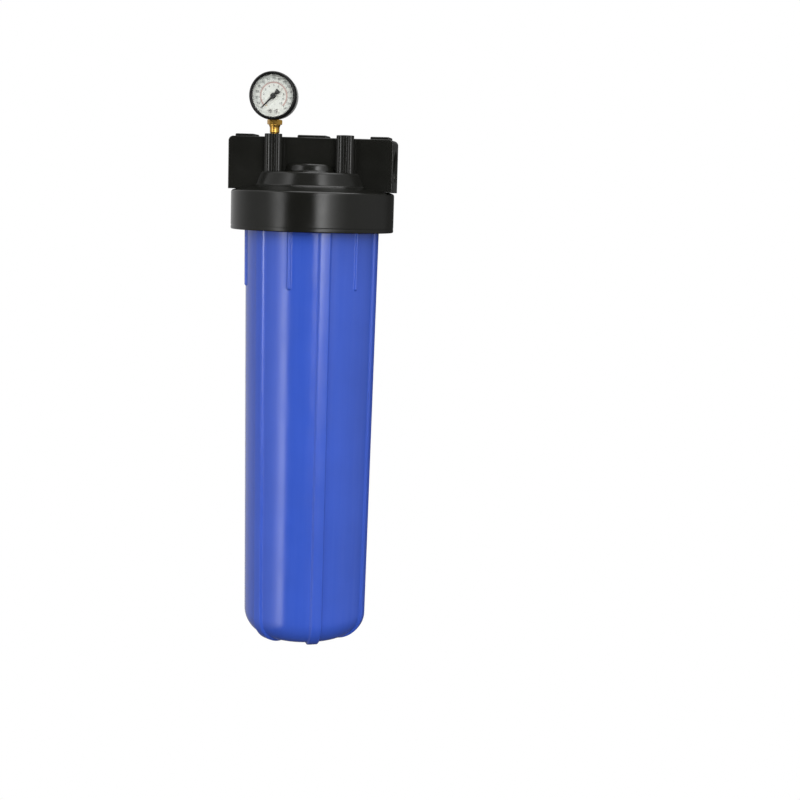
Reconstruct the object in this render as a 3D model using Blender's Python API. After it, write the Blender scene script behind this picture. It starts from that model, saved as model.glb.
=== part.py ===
"""Bag-type cartridge filter housing with a pressure gauge on its head.

Frame: metres, +Z up, origin on the floor under the middle of the sump.
+X runs along the two pipe ports, -Y is the front, where the gauge faces.
Helpers below take millimetres and add_object turns them into metres.
"""

import math

import bmesh
import bpy
from mathutils import Matrix, Vector

for old in list(bpy.data.objects):
    bpy.data.objects.remove(old, do_unlink=True)

MM = 0.001
TAU = 2 * math.pi

# ---------------------------------------------------------------- dimensions
# Sump: a moulded canister that stands on the lower ends of its six ribs.
BASE_Z = 3.0            # underside of the wall above the floor
R_AT_45 = 71.1          # outer radius 45 mm up
TAPER = 0.0109          # growth of that radius for each mm of height
CORNER_R = 30.0         # outer radius of the base corner
FLOOR_Z = 10.0          # inside of the base
INNER_LOW, INNER_HIGH = 64.8, 67.0
LEDGE_Z = 485.0         # inside ledge that carries the basket's lugs
NECK_R, THREAD_R = 79.2, 82.0
NECK_TOP = 512.0
RIB_HALF_FOOT, RIB_HALF_TOP, RIB_H = 7.3, 5.0, 2.5
SHORT_HALF_FOOT, SHORT_HALF_TOP, SHORT_H = 2.7, 1.2, 2.0
SHORT_RIB_LOW = 414.0
RIB_PHASE = 21.5        # degrees from the front towards +X
# Head
COLLAR_R, COLLAR_LOW, COLLAR_HIGH = 93.0, 478.4, 519.5
HEAD_ROOT_R, HEAD_THREAD_R = 85.4, 82.7
SEAT_Z = 512.9
PITCH = 9.0
THREADS = 2
BLOCK_X, BLOCK_Y = 94.0, 23.0
BLOCK_LOW, BLOCK_HIGH = 523.5, 582.5
PAD_TOP = 585.5
PORT_R, PORT_DEPTH, PORT_Z = 16.6, 22.0, 552.5
PASSAGE_R = 13.0
BOSS_X, BOSS_Y, BOSS_R, BOSS_TOP = 40.7, -24.0, 7.6, 585.8
LEDGE_TOP = 544.0       # flat ring on the dome, where the bosses stand
BOSS_BORE_R = 5.1
# Basket and bag
BASKET_R, BASKET_WALL = 56.5, 2.8
BASKET_COLLAR_R = 58.5
BASKET_TOP, BASKET_LOW = 512.0, 57.0
LUG_R, LUG_TIP, LUG_Z = 1.75, 68.4, 487.05
BAG_R, BAG_WALL = 52.0, 2.5
# Gauge
GX, GY, GZ = -BOSS_X, BOSS_Y, 626.7   # stem axis in X and Y, dial centre in Z
BEZEL_R = 26.6
CASE_R = 25.2


# ----------------------------------------------------------------- materials
def material(name, colour, roughness, metallic=0.0, alpha=1.0):
    mat = bpy.data.materials.new(name)
    mat.use_nodes = True
    shader = mat.node_tree.nodes["Principled BSDF"]
    shader.inputs["Base Color"].default_value = (*colour, 1.0)
    shader.inputs["Roughness"].default_value = roughness
    shader.inputs["Metallic"].default_value = metallic
    shader.inputs["Alpha"].default_value = alpha
    mat.diffuse_color = (*colour, alpha)
    return mat


BLUE = material("blue_plastic", (0.045, 0.085, 0.58), 0.30)
BLACK = material("black_plastic", (0.012, 0.012, 0.013), 0.38)
WHITE = material("white_plastic", (0.66, 0.65, 0.72), 0.40)
FELT = material("bag_felt", (0.80, 0.80, 0.77), 0.95)
RUBBER = material("black_rubber", (0.02, 0.02, 0.02), 0.75)
BRASS = material("brass", (0.72, 0.50, 0.16), 0.28, 1.0)
STEEL = material("case_steel", (0.42, 0.42, 0.43), 0.35, 1.0)
BEZEL = material("bezel_black", (0.014, 0.014, 0.015), 0.25)
CLEAR = material("clear_window", (0.95, 0.97, 0.97), 0.05, 0.0, 0.3)
DIAL = material("dial_cream", (0.86, 0.84, 0.76), 0.5)
NEEDLE = material("needle_black", (0.01, 0.01, 0.01), 0.5)

# -------------------------------------------------------------------- helpers
PIVOTS = {}


def add_object(name, bm, mat, pivot=(0.0, 0.0, 0.0), parent=None, smooth=True):
    """Names a mesh built in world millimetres and puts its origin at pivot."""
    bmesh.ops.remove_doubles(bm, verts=bm.verts, dist=1e-4)
    bmesh.ops.recalc_face_normals(bm, faces=bm.faces)
    if bm.calc_volume(signed=True) < 0:
        bmesh.ops.reverse_faces(bm, faces=bm.faces)
    bmesh.ops.translate(bm, verts=bm.verts, vec=-Vector(pivot))
    bmesh.ops.scale(bm, verts=bm.verts, vec=(MM, MM, MM))
    mesh = bpy.data.meshes.new(name)
    bm.to_mesh(mesh)
    bm.free()
    mesh.materials.append(mat)
    if smooth:
        mesh.shade_smooth()
        mesh.set_sharp_from_angle(angle=math.radians(35))
    obj = bpy.data.objects.new(name, mesh)
    bpy.context.scene.collection.objects.link(obj)
    at = Vector(pivot)
    if parent is not None:
        obj.parent = parent
        at = at - PIVOTS[parent.name]
    obj.location = at * MM
    PIVOTS[obj.name] = Vector(pivot)
    return obj


def cutter(name, bm):
    obj = add_object(name, bm, BLACK, smooth=False)
    obj.hide_render = True
    obj.display_type = "WIRE"
    obj.hide_set(True)
    return obj


def boolean(obj, other, operation="DIFFERENCE"):
    mod = obj.modifiers.new(operation.lower() + "_" + other.name, "BOOLEAN")
    mod.operation = operation
    mod.solver = "EXACT"
    mod.object = other
    return mod


def lathe(profile, steps, closed=True, phase=0.0):
    """Turns a profile of (radius, height) points about Z."""
    bm = bmesh.new()
    start = Matrix.Rotation(phase, 3, "Z")
    verts = [bm.verts.new(start @ Vector((r, 0.0, z))) for r, z in profile]
    edges = [bm.edges.new(pair) for pair in zip(verts, verts[1:])]
    if closed:
        edges.append(bm.edges.new((verts[-1], verts[0])))
    bmesh.ops.spin(
        bm, geom=verts + edges, cent=(0, 0, 0), axis=(0, 0, 1), dvec=(0, 0, 0),
        angle=TAU, steps=steps, use_merge=True, use_duplicate=False,
    )
    bmesh.ops.remove_doubles(bm, verts=bm.verts, dist=1e-4)
    return bm


def place(bm, matrix):
    bmesh.ops.transform(bm, matrix=matrix, verts=bm.verts)
    return bm


def along_y(bm, x, y, z):
    """Lays a turned shape so that its height runs towards +Y from (x, y, z)."""
    return place(bm, Matrix.Translation((x, y, z)) @ Matrix.Rotation(-math.pi / 2, 4, "X"))


def along_x(bm, x, y, z):
    """Lays a turned shape so that its height runs towards +X from (x, y, z)."""
    return place(bm, Matrix.Translation((x, y, z)) @ Matrix.Rotation(math.pi / 2, 4, "Y"))


def disc(radius, low, high, steps, chamfer=0.0):
    """A turned cylinder with its ends at heights low and high."""
    c = chamfer
    if c:
        points = [(0, high), (radius - c, high), (radius, high - c), (radius, low + c), (radius - c, low), (0, low)]
    else:
        points = [(0, high), (radius, high), (radius, low), (0, low)]
    return lathe(points, steps, closed=False)


def prism(outline, low, high, plane="XZ"):
    """Extrudes a flat outline. XZ outlines run along Y, XY outlines along Z."""
    bm = bmesh.new()
    if plane == "XZ":
        verts = [bm.verts.new((a, low, b)) for a, b in outline]
        step = Vector((0, high - low, 0))
    else:
        verts = [bm.verts.new((a, b, low)) for a, b in outline]
        step = Vector((0, 0, high - low))
    face = bm.faces.new(verts)
    made = bmesh.ops.extrude_face_region(bm, geom=[face])
    moved = [v for v in made["geom"] if isinstance(v, bmesh.types.BMVert)]
    bmesh.ops.translate(bm, verts=moved, vec=step)
    return bm


def box(x0, x1, y0, y1, z0, z1):
    return prism([(x0, z0), (x1, z0), (x1, z1), (x0, z1)], y0, y1)


def join(*pieces):
    """Merges separate meshes into one bmesh, without a Boolean."""
    whole = bmesh.new()
    for bm in pieces:
        scratch = bpy.data.meshes.new("scratch")
        bm.to_mesh(scratch)
        bm.free()
        whole.from_mesh(scratch)
        bpy.data.meshes.remove(scratch)
    return whole


def arc(cx, cy, r, a0, a1, n):
    return [
        (cx + r * math.cos(math.radians(a0 + (a1 - a0) * i / n)),
         cy + r * math.sin(math.radians(a0 + (a1 - a0) * i / n)))
        for i in range(n + 1)
    ]


def outer_r(z):
    return R_AT_45 + (z - 45.0) * TAPER


# ----------------------------------------------------------------------- sump
def sump_columns():
    """(rib angle, sideways offset, full rib share, short rib share), or None for a column halfway between."""
    columns = []
    for k in range(6):
        full = math.radians(RIB_PHASE + 60 * k)
        short = math.radians(RIB_PHASE + 60 * k + 30)
        columns += [
            (full, -RIB_HALF_FOOT, 0, 0), (full, -RIB_HALF_TOP, 1, 0),
            (full, RIB_HALF_TOP, 1, 0), (full, RIB_HALF_FOOT, 0, 0), None,
            (short, -SHORT_HALF_FOOT, 0, 0), (short, -SHORT_HALF_TOP, 0, 1),
            (short, SHORT_HALF_TOP, 0, 1), (short, SHORT_HALF_FOOT, 0, 0), None,
        ]
    return columns


def sump_rows():
    """(radius, height, normal out, normal up, full rib height, short rib height), from the outside of the base up, over the neck and down inside."""
    rows = [(22.0, 5.5, 0, -1, 0, 0), (30.0, 4.2, 0, -1, 0, 0), (35.0, 3.4, 0, -1, 3.4, 0)]
    centre_z = BASE_Z + CORNER_R
    centre_r = outer_r(centre_z) - CORNER_R
    rows.append((centre_r, BASE_Z, 0, -1, BASE_Z, 0))
    for i in range(1, 5):
        a = math.radians(-90 + 22.5 * i)
        rows.append((
            centre_r + CORNER_R * math.cos(a), centre_z + CORNER_R * math.sin(a),
            math.cos(a), math.sin(a), BASE_Z + (RIB_H - BASE_Z) * i / 4, 0,
        ))
    low = SHORT_RIB_LOW
    rows += [
        (outer_r(low), low, 1, 0, RIB_H, 0),
        (outer_r(low + 3), low + 3, 1, 0, RIB_H, SHORT_H),
        (outer_r(480), 480.0, 1, 0, RIB_H, SHORT_H),
        (79.6, 485.5, 1, 0, 0, 0), (THREAD_R - 0.2, 487.3, 1, 0, 0, 0),
        (THREAD_R - 0.2, 489.0, 1, 0, 0, 0), (NECK_R, 490.4, 1, 0, 0, 0),
    ]
    for k in range(THREADS):
        z = 494.0 + PITCH * k
        rows += [
            (NECK_R, z - 2.4, 1, 0, 0, 0), (THREAD_R, z - 1.2, 1, 0, 0, 0),
            (THREAD_R, z + 1.2, 1, 0, 0, 0), (NECK_R, z + 2.4, 1, 0, 0, 0),
        ]
    rows += [
        (NECK_R - 0.8, NECK_TOP, 0, 1, 0, 0),
        (76.9, NECK_TOP, 0, 1, 0, 0), (76.9, NECK_TOP - 3.4, 0, 1, 0, 0),
        (72.1, NECK_TOP - 3.4, 0, 1, 0, 0), (72.1, NECK_TOP, 0, 1, 0, 0),
        (70.2, NECK_TOP, 0, 1, 0, 0), (69.6, NECK_TOP - 1, 0, 1, 0, 0),
        (69.4, LEDGE_Z, 0, 1, 0, 0), (INNER_HIGH, LEDGE_Z, 0, 1, 0, 0),
        (INNER_LOW, 38.0, 0, 1, 0, 0),
    ]
    inner = arc(INNER_LOW - 26, FLOOR_Z + 26, 26, 0, -90, 3)
    rows += [(r, z, 0, 1, 0, 0) for r, z in inner[1:]]
    return rows


def build_sump():
    bm = bmesh.new()
    columns, rings = sump_columns(), []
    for r, z, out, up, full_h, short_h in sump_rows():
        angles = [None if c is None else c[0] + math.asin(c[1] / r) for c in columns]
        for i, angle in enumerate(angles):
            if angle is None:
                after = angles[(i + 1) % len(angles)] + (TAU if i + 1 == len(angles) else 0)
                angles[i] = (angles[i - 1] + after) / 2
        ring = []
        for column, angle in zip(columns, angles):
            lift = 0.0 if column is None else column[2] * full_h + column[3] * short_h
            rr, zz = r + out * lift, z + up * lift
            ring.append(bm.verts.new((rr * math.sin(angle), -rr * math.cos(angle), zz)))
        rings.append(ring)
    n = len(columns)
    for low, high in zip(rings, rings[1:]):
        for i in range(n):
            j = (i + 1) % n
            bm.faces.new((low[i], low[j], high[j], high[i]))
    for ring, z in ((rings[0], 5.8), (rings[-1], FLOOR_Z)):
        hub = bm.verts.new((0, 0, z))
        for i in range(n):
            bm.faces.new((ring[i], ring[(i + 1) % n], hub))
    return bm


sump_body = add_object("sump_body", build_sump(), BLUE)

# Main O-ring, lying in the groove of the sump's rim.
groove_floor = NECK_TOP - 3.4
main_o_ring = add_object(
    "main_o_ring",
    lathe([(74.4 + 1.9 * math.cos(TAU * i / 6), groove_floor + 2.1 + 2.0 * math.sin(TAU * i / 6)) for i in range(6)], 40),
    RUBBER, parent=sump_body,
)


# ----------------------------------------------------------------------- head
def head_profile():
    outside = [
        (0, 554.0), (31.5, 554.0), (35.0, 552.2), (36.6, 545.4), (38.6, LEDGE_TOP),
        (58.6, LEDGE_TOP), (60.2, 542.4), (65.0, 529.8), (66.8, 528.6),
        (90.6, 520.3), (92.5, 519.0), (COLLAR_R, 517.2), (COLLAR_R, COLLAR_LOW + 0.8),
        (COLLAR_R - 0.8, COLLAR_LOW), (87.2, COLLAR_LOW), (HEAD_ROOT_R, COLLAR_LOW + 1.8),
    ]
    thread = []
    for k in range(THREADS):
        z = 489.5 + PITCH * k
        thread += [(HEAD_ROOT_R, z - 2.4), (HEAD_THREAD_R, z - 1.2), (HEAD_THREAD_R, z + 1.2), (HEAD_ROOT_R, z + 2.4)]
    inside = [(HEAD_ROOT_R, SEAT_Z - 0.9), (HEAD_ROOT_R - 0.9, SEAT_Z), (0, SEAT_Z)]
    return outside + thread + inside


head_cap = add_object("head_cap", lathe(head_profile(), 36, closed=False), BLACK, pivot=(0, 0, COLLAR_LOW), parent=main_o_ring)

end_r = 5.5
block_outline = (
    [(-BLOCK_X, BLOCK_LOW), (BLOCK_X, BLOCK_LOW)]
    + arc(BLOCK_X - end_r, BLOCK_HIGH - end_r, end_r, 0, 90, 3)
    + arc(-BLOCK_X + end_r, BLOCK_HIGH - end_r, end_r, 90, 180, 3)
)
boolean(head_cap, cutter("make_block", prism(block_outline, -BLOCK_Y, BLOCK_Y)), "UNION")
for name, x0, x1 in (("left", -88.0, -66.5), ("middle", -16.5, 16.5), ("right", 66.5, 88.0)):
    outline = [(x0, 580.0), (x1, 580.0), (x1, PAD_TOP - 1.5), (x1 - 1.5, PAD_TOP), (x0 + 1.5, PAD_TOP), (x0, PAD_TOP - 1.5)]
    boolean(head_cap, cutter("make_pad_" + name, prism(outline, -15.0, 15.0)), "UNION")
for side, name in ((-1, "left"), (1, "right")):
    x = side * BOSS_X
    boss = place(disc(BOSS_R, 541.0, BOSS_TOP, 20, 0.6), Matrix.Translation((x, BOSS_Y, 0)))
    boolean(head_cap, cutter("make_boss_" + name, boss), "UNION")
    for k, dx in ((1, -5.8), (2, 5.8)):
        column = place(disc(4.1, 541.6, BOSS_TOP - 0.25, 14, 0.5), Matrix.Translation((x + dx, -30.0, 0)))
        boolean(head_cap, cutter(f"make_column_{name}_{k}", column), "UNION")
    mouth = lathe([(0, 1), (PORT_R + 1.2, 1), (PORT_R + 1.2, 0), (PORT_R, -1.4), (PORT_R, -PORT_DEPTH), (0, -PORT_DEPTH)], 28, closed=False)
    mouth = place(mouth, Matrix.Translation((side * BLOCK_X, 0, PORT_Z)) @ Matrix.Rotation(side * math.pi / 2, 4, "Y"))
    boolean(head_cap, cutter("cut_port_" + name, mouth))
# Under the dome: a round middle chamber, and a ring-shaped one outside its wall.
chambers = [
    (0, 536.0), (42.5, 536.0), (42.5, 516.4), (47.0, 516.4), (47.0, 536.0),
    (55.0, 536.0), (60.5, 523.0), (66.3, 512.35), (66.3, 508.0), (0, 508.0),
]
boolean(head_cap, cutter("cut_chambers", lathe(chambers, 36, closed=False)))
# Left port feeds the middle chamber, right port drains the ring-shaped one.
boolean(head_cap, cutter("cut_left_passage", along_x(disc(PASSAGE_R, 0, 76.4, 20), -74.0, 0, PORT_Z + 0.1)))
boolean(head_cap, cutter("cut_middle_well", place(disc(16.0, 533.0, 553.7, 20), Matrix.Translation((0.3, 0, 0)))))
boolean(head_cap, cutter("cut_right_passage", along_x(disc(PASSAGE_R, 0, 29.0, 20), 45.5, 0, PORT_Z - 0.1)))
boolean(head_cap, cutter("cut_right_well", box(47.4, 54.6, -12.0, 12.0, 533.0, 552.9)))
# The well widens outwards, over the water gap that runs round the basket.
boolean(head_cap, cutter("cut_right_drop", box(47.7, 62.0, -9.5, 9.5, 516.9, 552.6)))
# Gauge hole in the left boss, with a small way through to the inlet passage.
boolean(head_cap, cutter("cut_gauge_hole", place(disc(BOSS_BORE_R, 569.5, 590.0, 16), Matrix.Translation((-BOSS_X, BOSS_Y, 0)))))
boolean(head_cap, cutter("cut_gauge_drill", place(disc(1.6, 551.3, 572.0, 8), Matrix.Translation((-BOSS_X, BOSS_Y, 0)))))
boolean(head_cap, cutter("cut_gauge_cross", along_y(disc(1.5, 0, 16.0, 8), -BOSS_X + 0.05, BOSS_Y - 1.0, 553.0)))
# Pilot holes for the screws of a wall bracket, two in each end pad.
for sx in (-1, 1):
    for sy in (-1, 1):
        pilot = place(disc(2.6, 573.0, 590.0, 8), Matrix.Translation((sx * 77.2, sy * 8.5, 0)))
        boolean(head_cap, cutter(f"cut_pilot_{'lr'[sx > 0]}{'fb'[sy > 0]}", pilot))


# --------------------------------------------------------------------- basket
SLOT_ROWS, SLOT_COUNT, SLOT_COLUMNS = 8, 6, 24


def build_basket():
    """A moulded tube with rows of slots, a plain collar and a rounded, closed end."""
    ro, ri = BASKET_R, BASKET_R - BASKET_WALL
    low, high = 92.0, 470.0
    step = (high - low) / SLOT_ROWS
    outer = [(30.0, BASKET_LOW), (44.0, BASKET_LOW + 0.6), (53.0, BASKET_LOW + 6), (BASKET_R, BASKET_LOW + 17), (BASKET_R, 80.0), (60.6, 81.5), (60.6, 86.0), (ro, 87.5)]
    inner = [(30.0, BASKET_LOW + 3), (43.0, BASKET_LOW + 3.6), (50.6, BASKET_LOW + 8), (ri, BASKET_LOW + 18), (ri, 80.0), (ri, 81.5), (ri, 86.0), (ri, 87.5)]
    open_rows = set()
    for k in range(SLOT_ROWS):
        z0 = low + step * k
        open_rows.add(len(outer) - 0)
        outer += [(ro, z0), (ro, z0 + step * 0.5)]
        inner += [(ri, z0), (ri, z0 + step * 0.5)]
    outer += [(ro, 476.0), (BASKET_COLLAR_R, 478.0), (BASKET_COLLAR_R, BASKET_TOP)]
    inner += [(ri, 476.0), (55.3, 478.0), (55.3, BASKET_TOP)]
    bm = bmesh.new()
    n = SLOT_COLUMNS

    def ring(r, z):
        return [bm.verts.new((r * math.cos(TAU * i / n), r * math.sin(TAU * i / n), z)) for i in range(n)]

    outs, ins = [ring(*p) for p in outer], [ring(*p) for p in inner]

    def is_open(row, i):
        if row not in open_rows:
            return False
        turn = sorted(open_rows).index(row) % 2 * 2
        return (i + turn) % (n // SLOT_COUNT) != 0

    for row in range(len(outer) - 1):
        for i in range(n):
            j = (i + 1) % n
            if not is_open(row, i):
                bm.faces.new((outs[row][i], outs[row][j], outs[row + 1][j], outs[row + 1][i]))
                bm.faces.new((ins[row][j], ins[row][i], ins[row + 1][i], ins[row + 1][j]))
                continue
            bm.faces.new((outs[row][i], outs[row][j], ins[row][j], ins[row][i]))
            bm.faces.new((outs[row + 1][j], outs[row + 1][i], ins[row + 1][i], ins[row + 1][j]))
            if not is_open(row, (i - 1) % n):
                bm.faces.new((outs[row][i], ins[row][i], ins[row + 1][i], outs[row + 1][i]))
            if not is_open(row, j):
                bm.faces.new((ins[row][j], outs[row][j], outs[row + 1][j], ins[row + 1][j]))
    for i in range(n):
        j = (i + 1) % n
        bm.faces.new((outs[-1][i], outs[-1][j], ins[-1][j], ins[-1][i]))
    for rings, z in ((outs, BASKET_LOW), (ins, BASKET_LOW + 3)):
        hub = bm.verts.new((0, 0, z))
        for i in range(n):
            bm.faces.new((rings[0][i], rings[0][(i + 1) % n], hub))
    return bm


bag_basket = add_object("bag_basket", build_basket(), WHITE, pivot=(0, 0, LEDGE_Z), parent=sump_body)
for k in range(4):
    turn = Matrix.Rotation(math.radians(36.0 + 90 * k), 4, "Z")
    lug = along_x(disc(LUG_R, 0, LUG_TIP - 56.9, 10, 0.4), 56.9, 0, LUG_Z)
    boolean(bag_basket, cutter(f"make_lug_{k}", place(lug, turn)), "UNION")

# ----------------------------------------------------------------- filter bag
bag_low, bag_high = 76.0, 499.4
bag_outside = [(0, bag_low), (20, bag_low + 1.5), (38, bag_low + 9), (48.5, bag_low + 24), (BAG_R, bag_low + 44), (BAG_R, bag_high)]
bag_inside = [(BAG_R - BAG_WALL, bag_high), (BAG_R - BAG_WALL, bag_low + 46), (46.2, bag_low + 27), (36.4, bag_low + 12), (19, bag_low + 4.2), (0, bag_low + 2.6)]
filter_bag = add_object("filter_bag", lathe(bag_outside + bag_inside, 24, closed=False), FELT, pivot=(0, 0, BASKET_TOP), parent=bag_basket)
bag_snap_ring = add_object(
    "bag_snap_ring",
    lathe([(59.4, 512.4), (60.0, 513.0), (60.0, 514.3), (59.4, 514.8), (49.6, 514.8), (49.0, 514.2), (49.0, 499.8), (54.0, 499.8), (54.0, 511.0), (54.4, 512.4)], 28),
    WHITE, pivot=(0, 0, BASKET_TOP), parent=filter_bag,
)
# The seat's lip under the middle chamber presses on this gasket.
bag_gasket = add_object(
    "bag_gasket", lathe([(49.0, 515.1), (49.0, 516.1), (41.6, 516.1), (41.6, 515.1), (41.6, 512.0), (43.0, 511.6), (48.6, 511.6), (48.6, 515.1)], 28),
    RUBBER, pivot=(0, 0, BASKET_TOP), parent=filter_bag,
)

# ---------------------------------------------------------------------- gauge
gauge = bpy.data.objects.new("gauge", None)
bpy.context.scene.collection.objects.link(gauge)
gauge.parent = head_cap
gauge.location = (Vector((GX, GY, GZ)) - PIVOTS["head_cap"]) * MM
PIVOTS["gauge"] = Vector((GX, GY, GZ))


def turned_y(profile, steps, closed=True, x=0.0, z=0.0):
    """A turned gauge piece: (radius, depth behind the stem axis), about an axis along Y."""
    return along_y(lathe(profile, steps, closed), GX + x, GY, GZ + z)


# Stem: thread in the boss, taper, hexagon, and the block that carries the tube.
stem_profile = [(0, 600.4), (6.5, 600.4), (6.5, 594.6), (5.5, 592.6), (5.5, 587.0), (4.7, 586.1), (4.7, 572.6), (4.1, 571.9), (0, 571.9)]
gauge_stem = add_object("gauge_stem", place(lathe(stem_profile, 20, closed=False), Matrix.Translation((GX, GY, 0))), BRASS, pivot=(GX, GY, GZ), parent=gauge)
hexagon = prism([(GX + 8.6 * math.cos(math.radians(60 * i)), GY + 8.6 * math.sin(math.radians(60 * i))) for i in range(6)], 595.6, 601.0, "XY")
boolean(gauge_stem, cutter("make_hexagon", hexagon), "UNION")
boolean(gauge_stem, cutter("make_stem_neck", place(disc(4.9, 600.0, 604.6, 16), Matrix.Translation((GX, GY, 0)))), "UNION")
boolean(gauge_stem, cutter("make_stem_block", box(GX - 6.0, GX + 6.0, GY - 4.3, GY + 4.2, 604.2, 614.2)), "UNION")
boolean(gauge_stem, cutter("cut_stem_bore", place(disc(1.2, 570.0, 610.0, 8), Matrix.Translation((GX, GY, 0)))))

# Case: a drawn steel cup, open at the front, with a hole for the stem's neck.
gauge_case = add_object(
    "gauge_case",
    turned_y([(0, 9.0), (23.8, 9.0), (CASE_R, 7.6), (CASE_R, -12.2), (24.0, -12.2), (24.0, 7.0), (23.2, 7.7), (0, 7.7)], 28, closed=False),
    STEEL, pivot=(GX, GY, GZ), parent=gauge,
)
boolean(gauge_case, cutter("cut_case_neck", place(disc(5.3, 596.0, 606.0, 16), Matrix.Translation((GX, GY, 0)))))
boolean(gauge_case, cutter("cut_case_vent", along_y(disc(3.3, 0, 8, 16), GX, GY + 4, GZ + 17.0)))
for side in (-1, 1):
    boolean(gauge_case, cutter("cut_case_screw_" + "lr"[side > 0], along_y(disc(1.5, 0, 8, 10), GX + side * 3.6, GY + 4, GZ - 15.2)))

gauge_bezel = add_object(
    "gauge_bezel",
    turned_y([(25.6, -8.2), (BEZEL_R, -8.6), (BEZEL_R, -14.8), (25.2, -16.2), (23.6, -15.8), (23.0, -14.2), (24.95, -14.2), (24.95, -12.5), (25.6, -12.5)], 32),
    BEZEL, pivot=(GX, GY, GZ), parent=gauge,
)
gauge_lens = add_object(
    "gauge_lens", turned_y([(0, -13.9), (24.0, -13.9), (24.6, -13.5), (24.6, -12.6), (0, -12.6)], 24, closed=False),
    CLEAR, pivot=(GX, GY, GZ), parent=gauge,
)
gauge_dial = add_object(
    "gauge_dial", turned_y([(1.6, -8.6), (23.5, -8.6), (23.5, -7.8), (1.6, -7.8)], 24),
    DIAL, pivot=(GX, GY, GZ), parent=gauge,
)
for name, x in (("left", -3.4), ("right", 3.4)):
    hole = along_y(disc(0.95, -10.5, -6.0, 10), GX + x, GY, GZ - 16.3)
    boolean(gauge_dial, cutter("cut_dial_" + name, hole))
    screw = lathe([(0, -10.1), (1.3, -10.1), (1.75, -9.6), (1.75, -8.9), (0.7, -8.9), (0.7, -6.9), (0, -6.9)], 12, closed=False)
    add_object("dial_screw_" + name, along_y(screw, GX + x, GY, GZ - 16.3), BRASS, pivot=(GX, GY, GZ), parent=gauge)

# Needle: it rests on the stop at zero, 45 degrees left of straight down.
REST = math.radians(-135.0)


def needle_outline():
    """Tip up, in (across, along) millimetres: a taper, a round hub and a fan-shaped tail."""
    right = [(0.25, 17.6), (0.95, 2.4)] + arc(0, 0, 2.6, 68, -68, 6) + [(1.05, -3.4), (2.3, -8.0)]
    left = [(-a, b) for a, b in reversed(right)]
    return right + left


def turned_outline(points, angle):
    """Turns (across, along) points clockwise, as seen from the front."""
    c, s = math.cos(angle), math.sin(angle)
    return [(GX + a * c + b * s, GZ - a * s + b * c) for a, b in points]


needle = prism(turned_outline(needle_outline(), REST), GY - 11.4, GY - 10.9)
gauge_needle = add_object("gauge_needle", needle, NEEDLE, pivot=(GX, GY, GZ), parent=gauge, smooth=False)
boolean(gauge_needle, cutter("make_needle_hub", along_y(disc(2.0, -11.9, -10.2, 14, 0.3), GX, GY, GZ)), "UNION")
boolean(gauge_needle, cutter("cut_needle_eye", along_y(disc(0.75, -11.1, -9.0, 8), GX, GY, GZ)))
pinion = lathe([(0, -10.7), (0.45, -10.7), (0.45, -10.05), (0.8, -9.9), (0.8, -2.4), (1.6, -2.3), (1.6, 0.9), (0.8, 1.0), (0.8, 3.0), (0, 3.0)], 12, closed=False)
pinion_shaft = add_object("pinion_shaft", along_y(pinion, GX, GY, GZ), BRASS, pivot=(GX, GY, GZ), parent=gauge)
needle_stop_pin = add_object(
    "needle_stop_pin", along_y(disc(0.45, -11.6, -8.9, 8), GX + 13.2 * math.sin(REST) + 1.25, GY, GZ + 13.2 * math.cos(REST) - 1.25),
    BRASS, pivot=(GX, GY, GZ), parent=gauge,
)

# Movement plates, carried by the stem's block, with pivot holes.
PIVOT_X, PIVOT_Z = 7.6, -8.2          # sector pivot from the dial centre
reach = math.hypot(PIVOT_X, PIVOT_Z)
SECTOR_R = reach - 1.6 - 0.25         # pitch rim, with running clearance to the pinion
plate_outline = [(-5.8, -21.5), (5.8, -21.5), (5.8, -14.0), (10.4, -12.2), (11.2, -6.4), (4.2, 4.0), (-4.0, 4.0), (-5.8, -3.0)]


def plate(front, back, hole_r):
    bm = prism([(GX + a, GZ + b) for a, b in plate_outline], GY + front, GY + back)
    return bm


for name, front, back in (("movement_front_plate", -5.6, -4.7), ("movement_rear_plate", 4.6, 5.5)):
    piece = add_object(name, plate(front, back, 1.0), BRASS, pivot=(GX, GY, GZ), parent=gauge, smooth=False)
    tag = name.split("_")[1]
    if tag == "front":
        boolean(piece, cutter("cut_front_shaft", along_y(disc(1.15, -8, -3, 10), GX, GY, GZ)))
    boolean(piece, cutter(f"cut_{tag}_pivot", along_y(disc(0.85, front - 2, back + 2, 10), GX + PIVOT_X, GY, GZ + PIVOT_Z)))

sector_pivot = add_object(
    "sector_pivot", along_y(disc(0.6, -5.9, 5.8, 10), GX + PIVOT_X, GY, GZ + PIVOT_Z),
    STEEL, pivot=(GX + PIVOT_X, GY, GZ + PIVOT_Z), parent=gauge,
)


def sector_outline():
    """From its pivot: a toothed rim towards the pinion, and a short tail that the link pulls."""
    towards = math.degrees(math.atan2(-PIVOT_Z, -PIVOT_X))   # from pivot to pinion
    rim = arc(0, 0, SECTOR_R, towards - 50, towards + 12, 14)
    tail = towards + 180 - 20
    t = math.radians(tail)
    side = math.radians(tail + 90)
    ends = [
        (5.2 * math.cos(t) + 1.1 * math.cos(side), 5.2 * math.sin(t) + 1.1 * math.sin(side)),
        (5.2 * math.cos(t) - 1.1 * math.cos(side), 5.2 * math.sin(t) - 1.1 * math.sin(side)),
    ]
    hub_a = (1.9 * math.cos(math.radians(towards + 100)), 1.9 * math.sin(math.radians(towards + 100)))
    hub_b = (1.9 * math.cos(math.radians(towards - 120)), 1.9 * math.sin(math.radians(towards - 120)))
    return rim + [hub_a] + [ends[1], ends[0]] + [hub_b]


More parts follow.
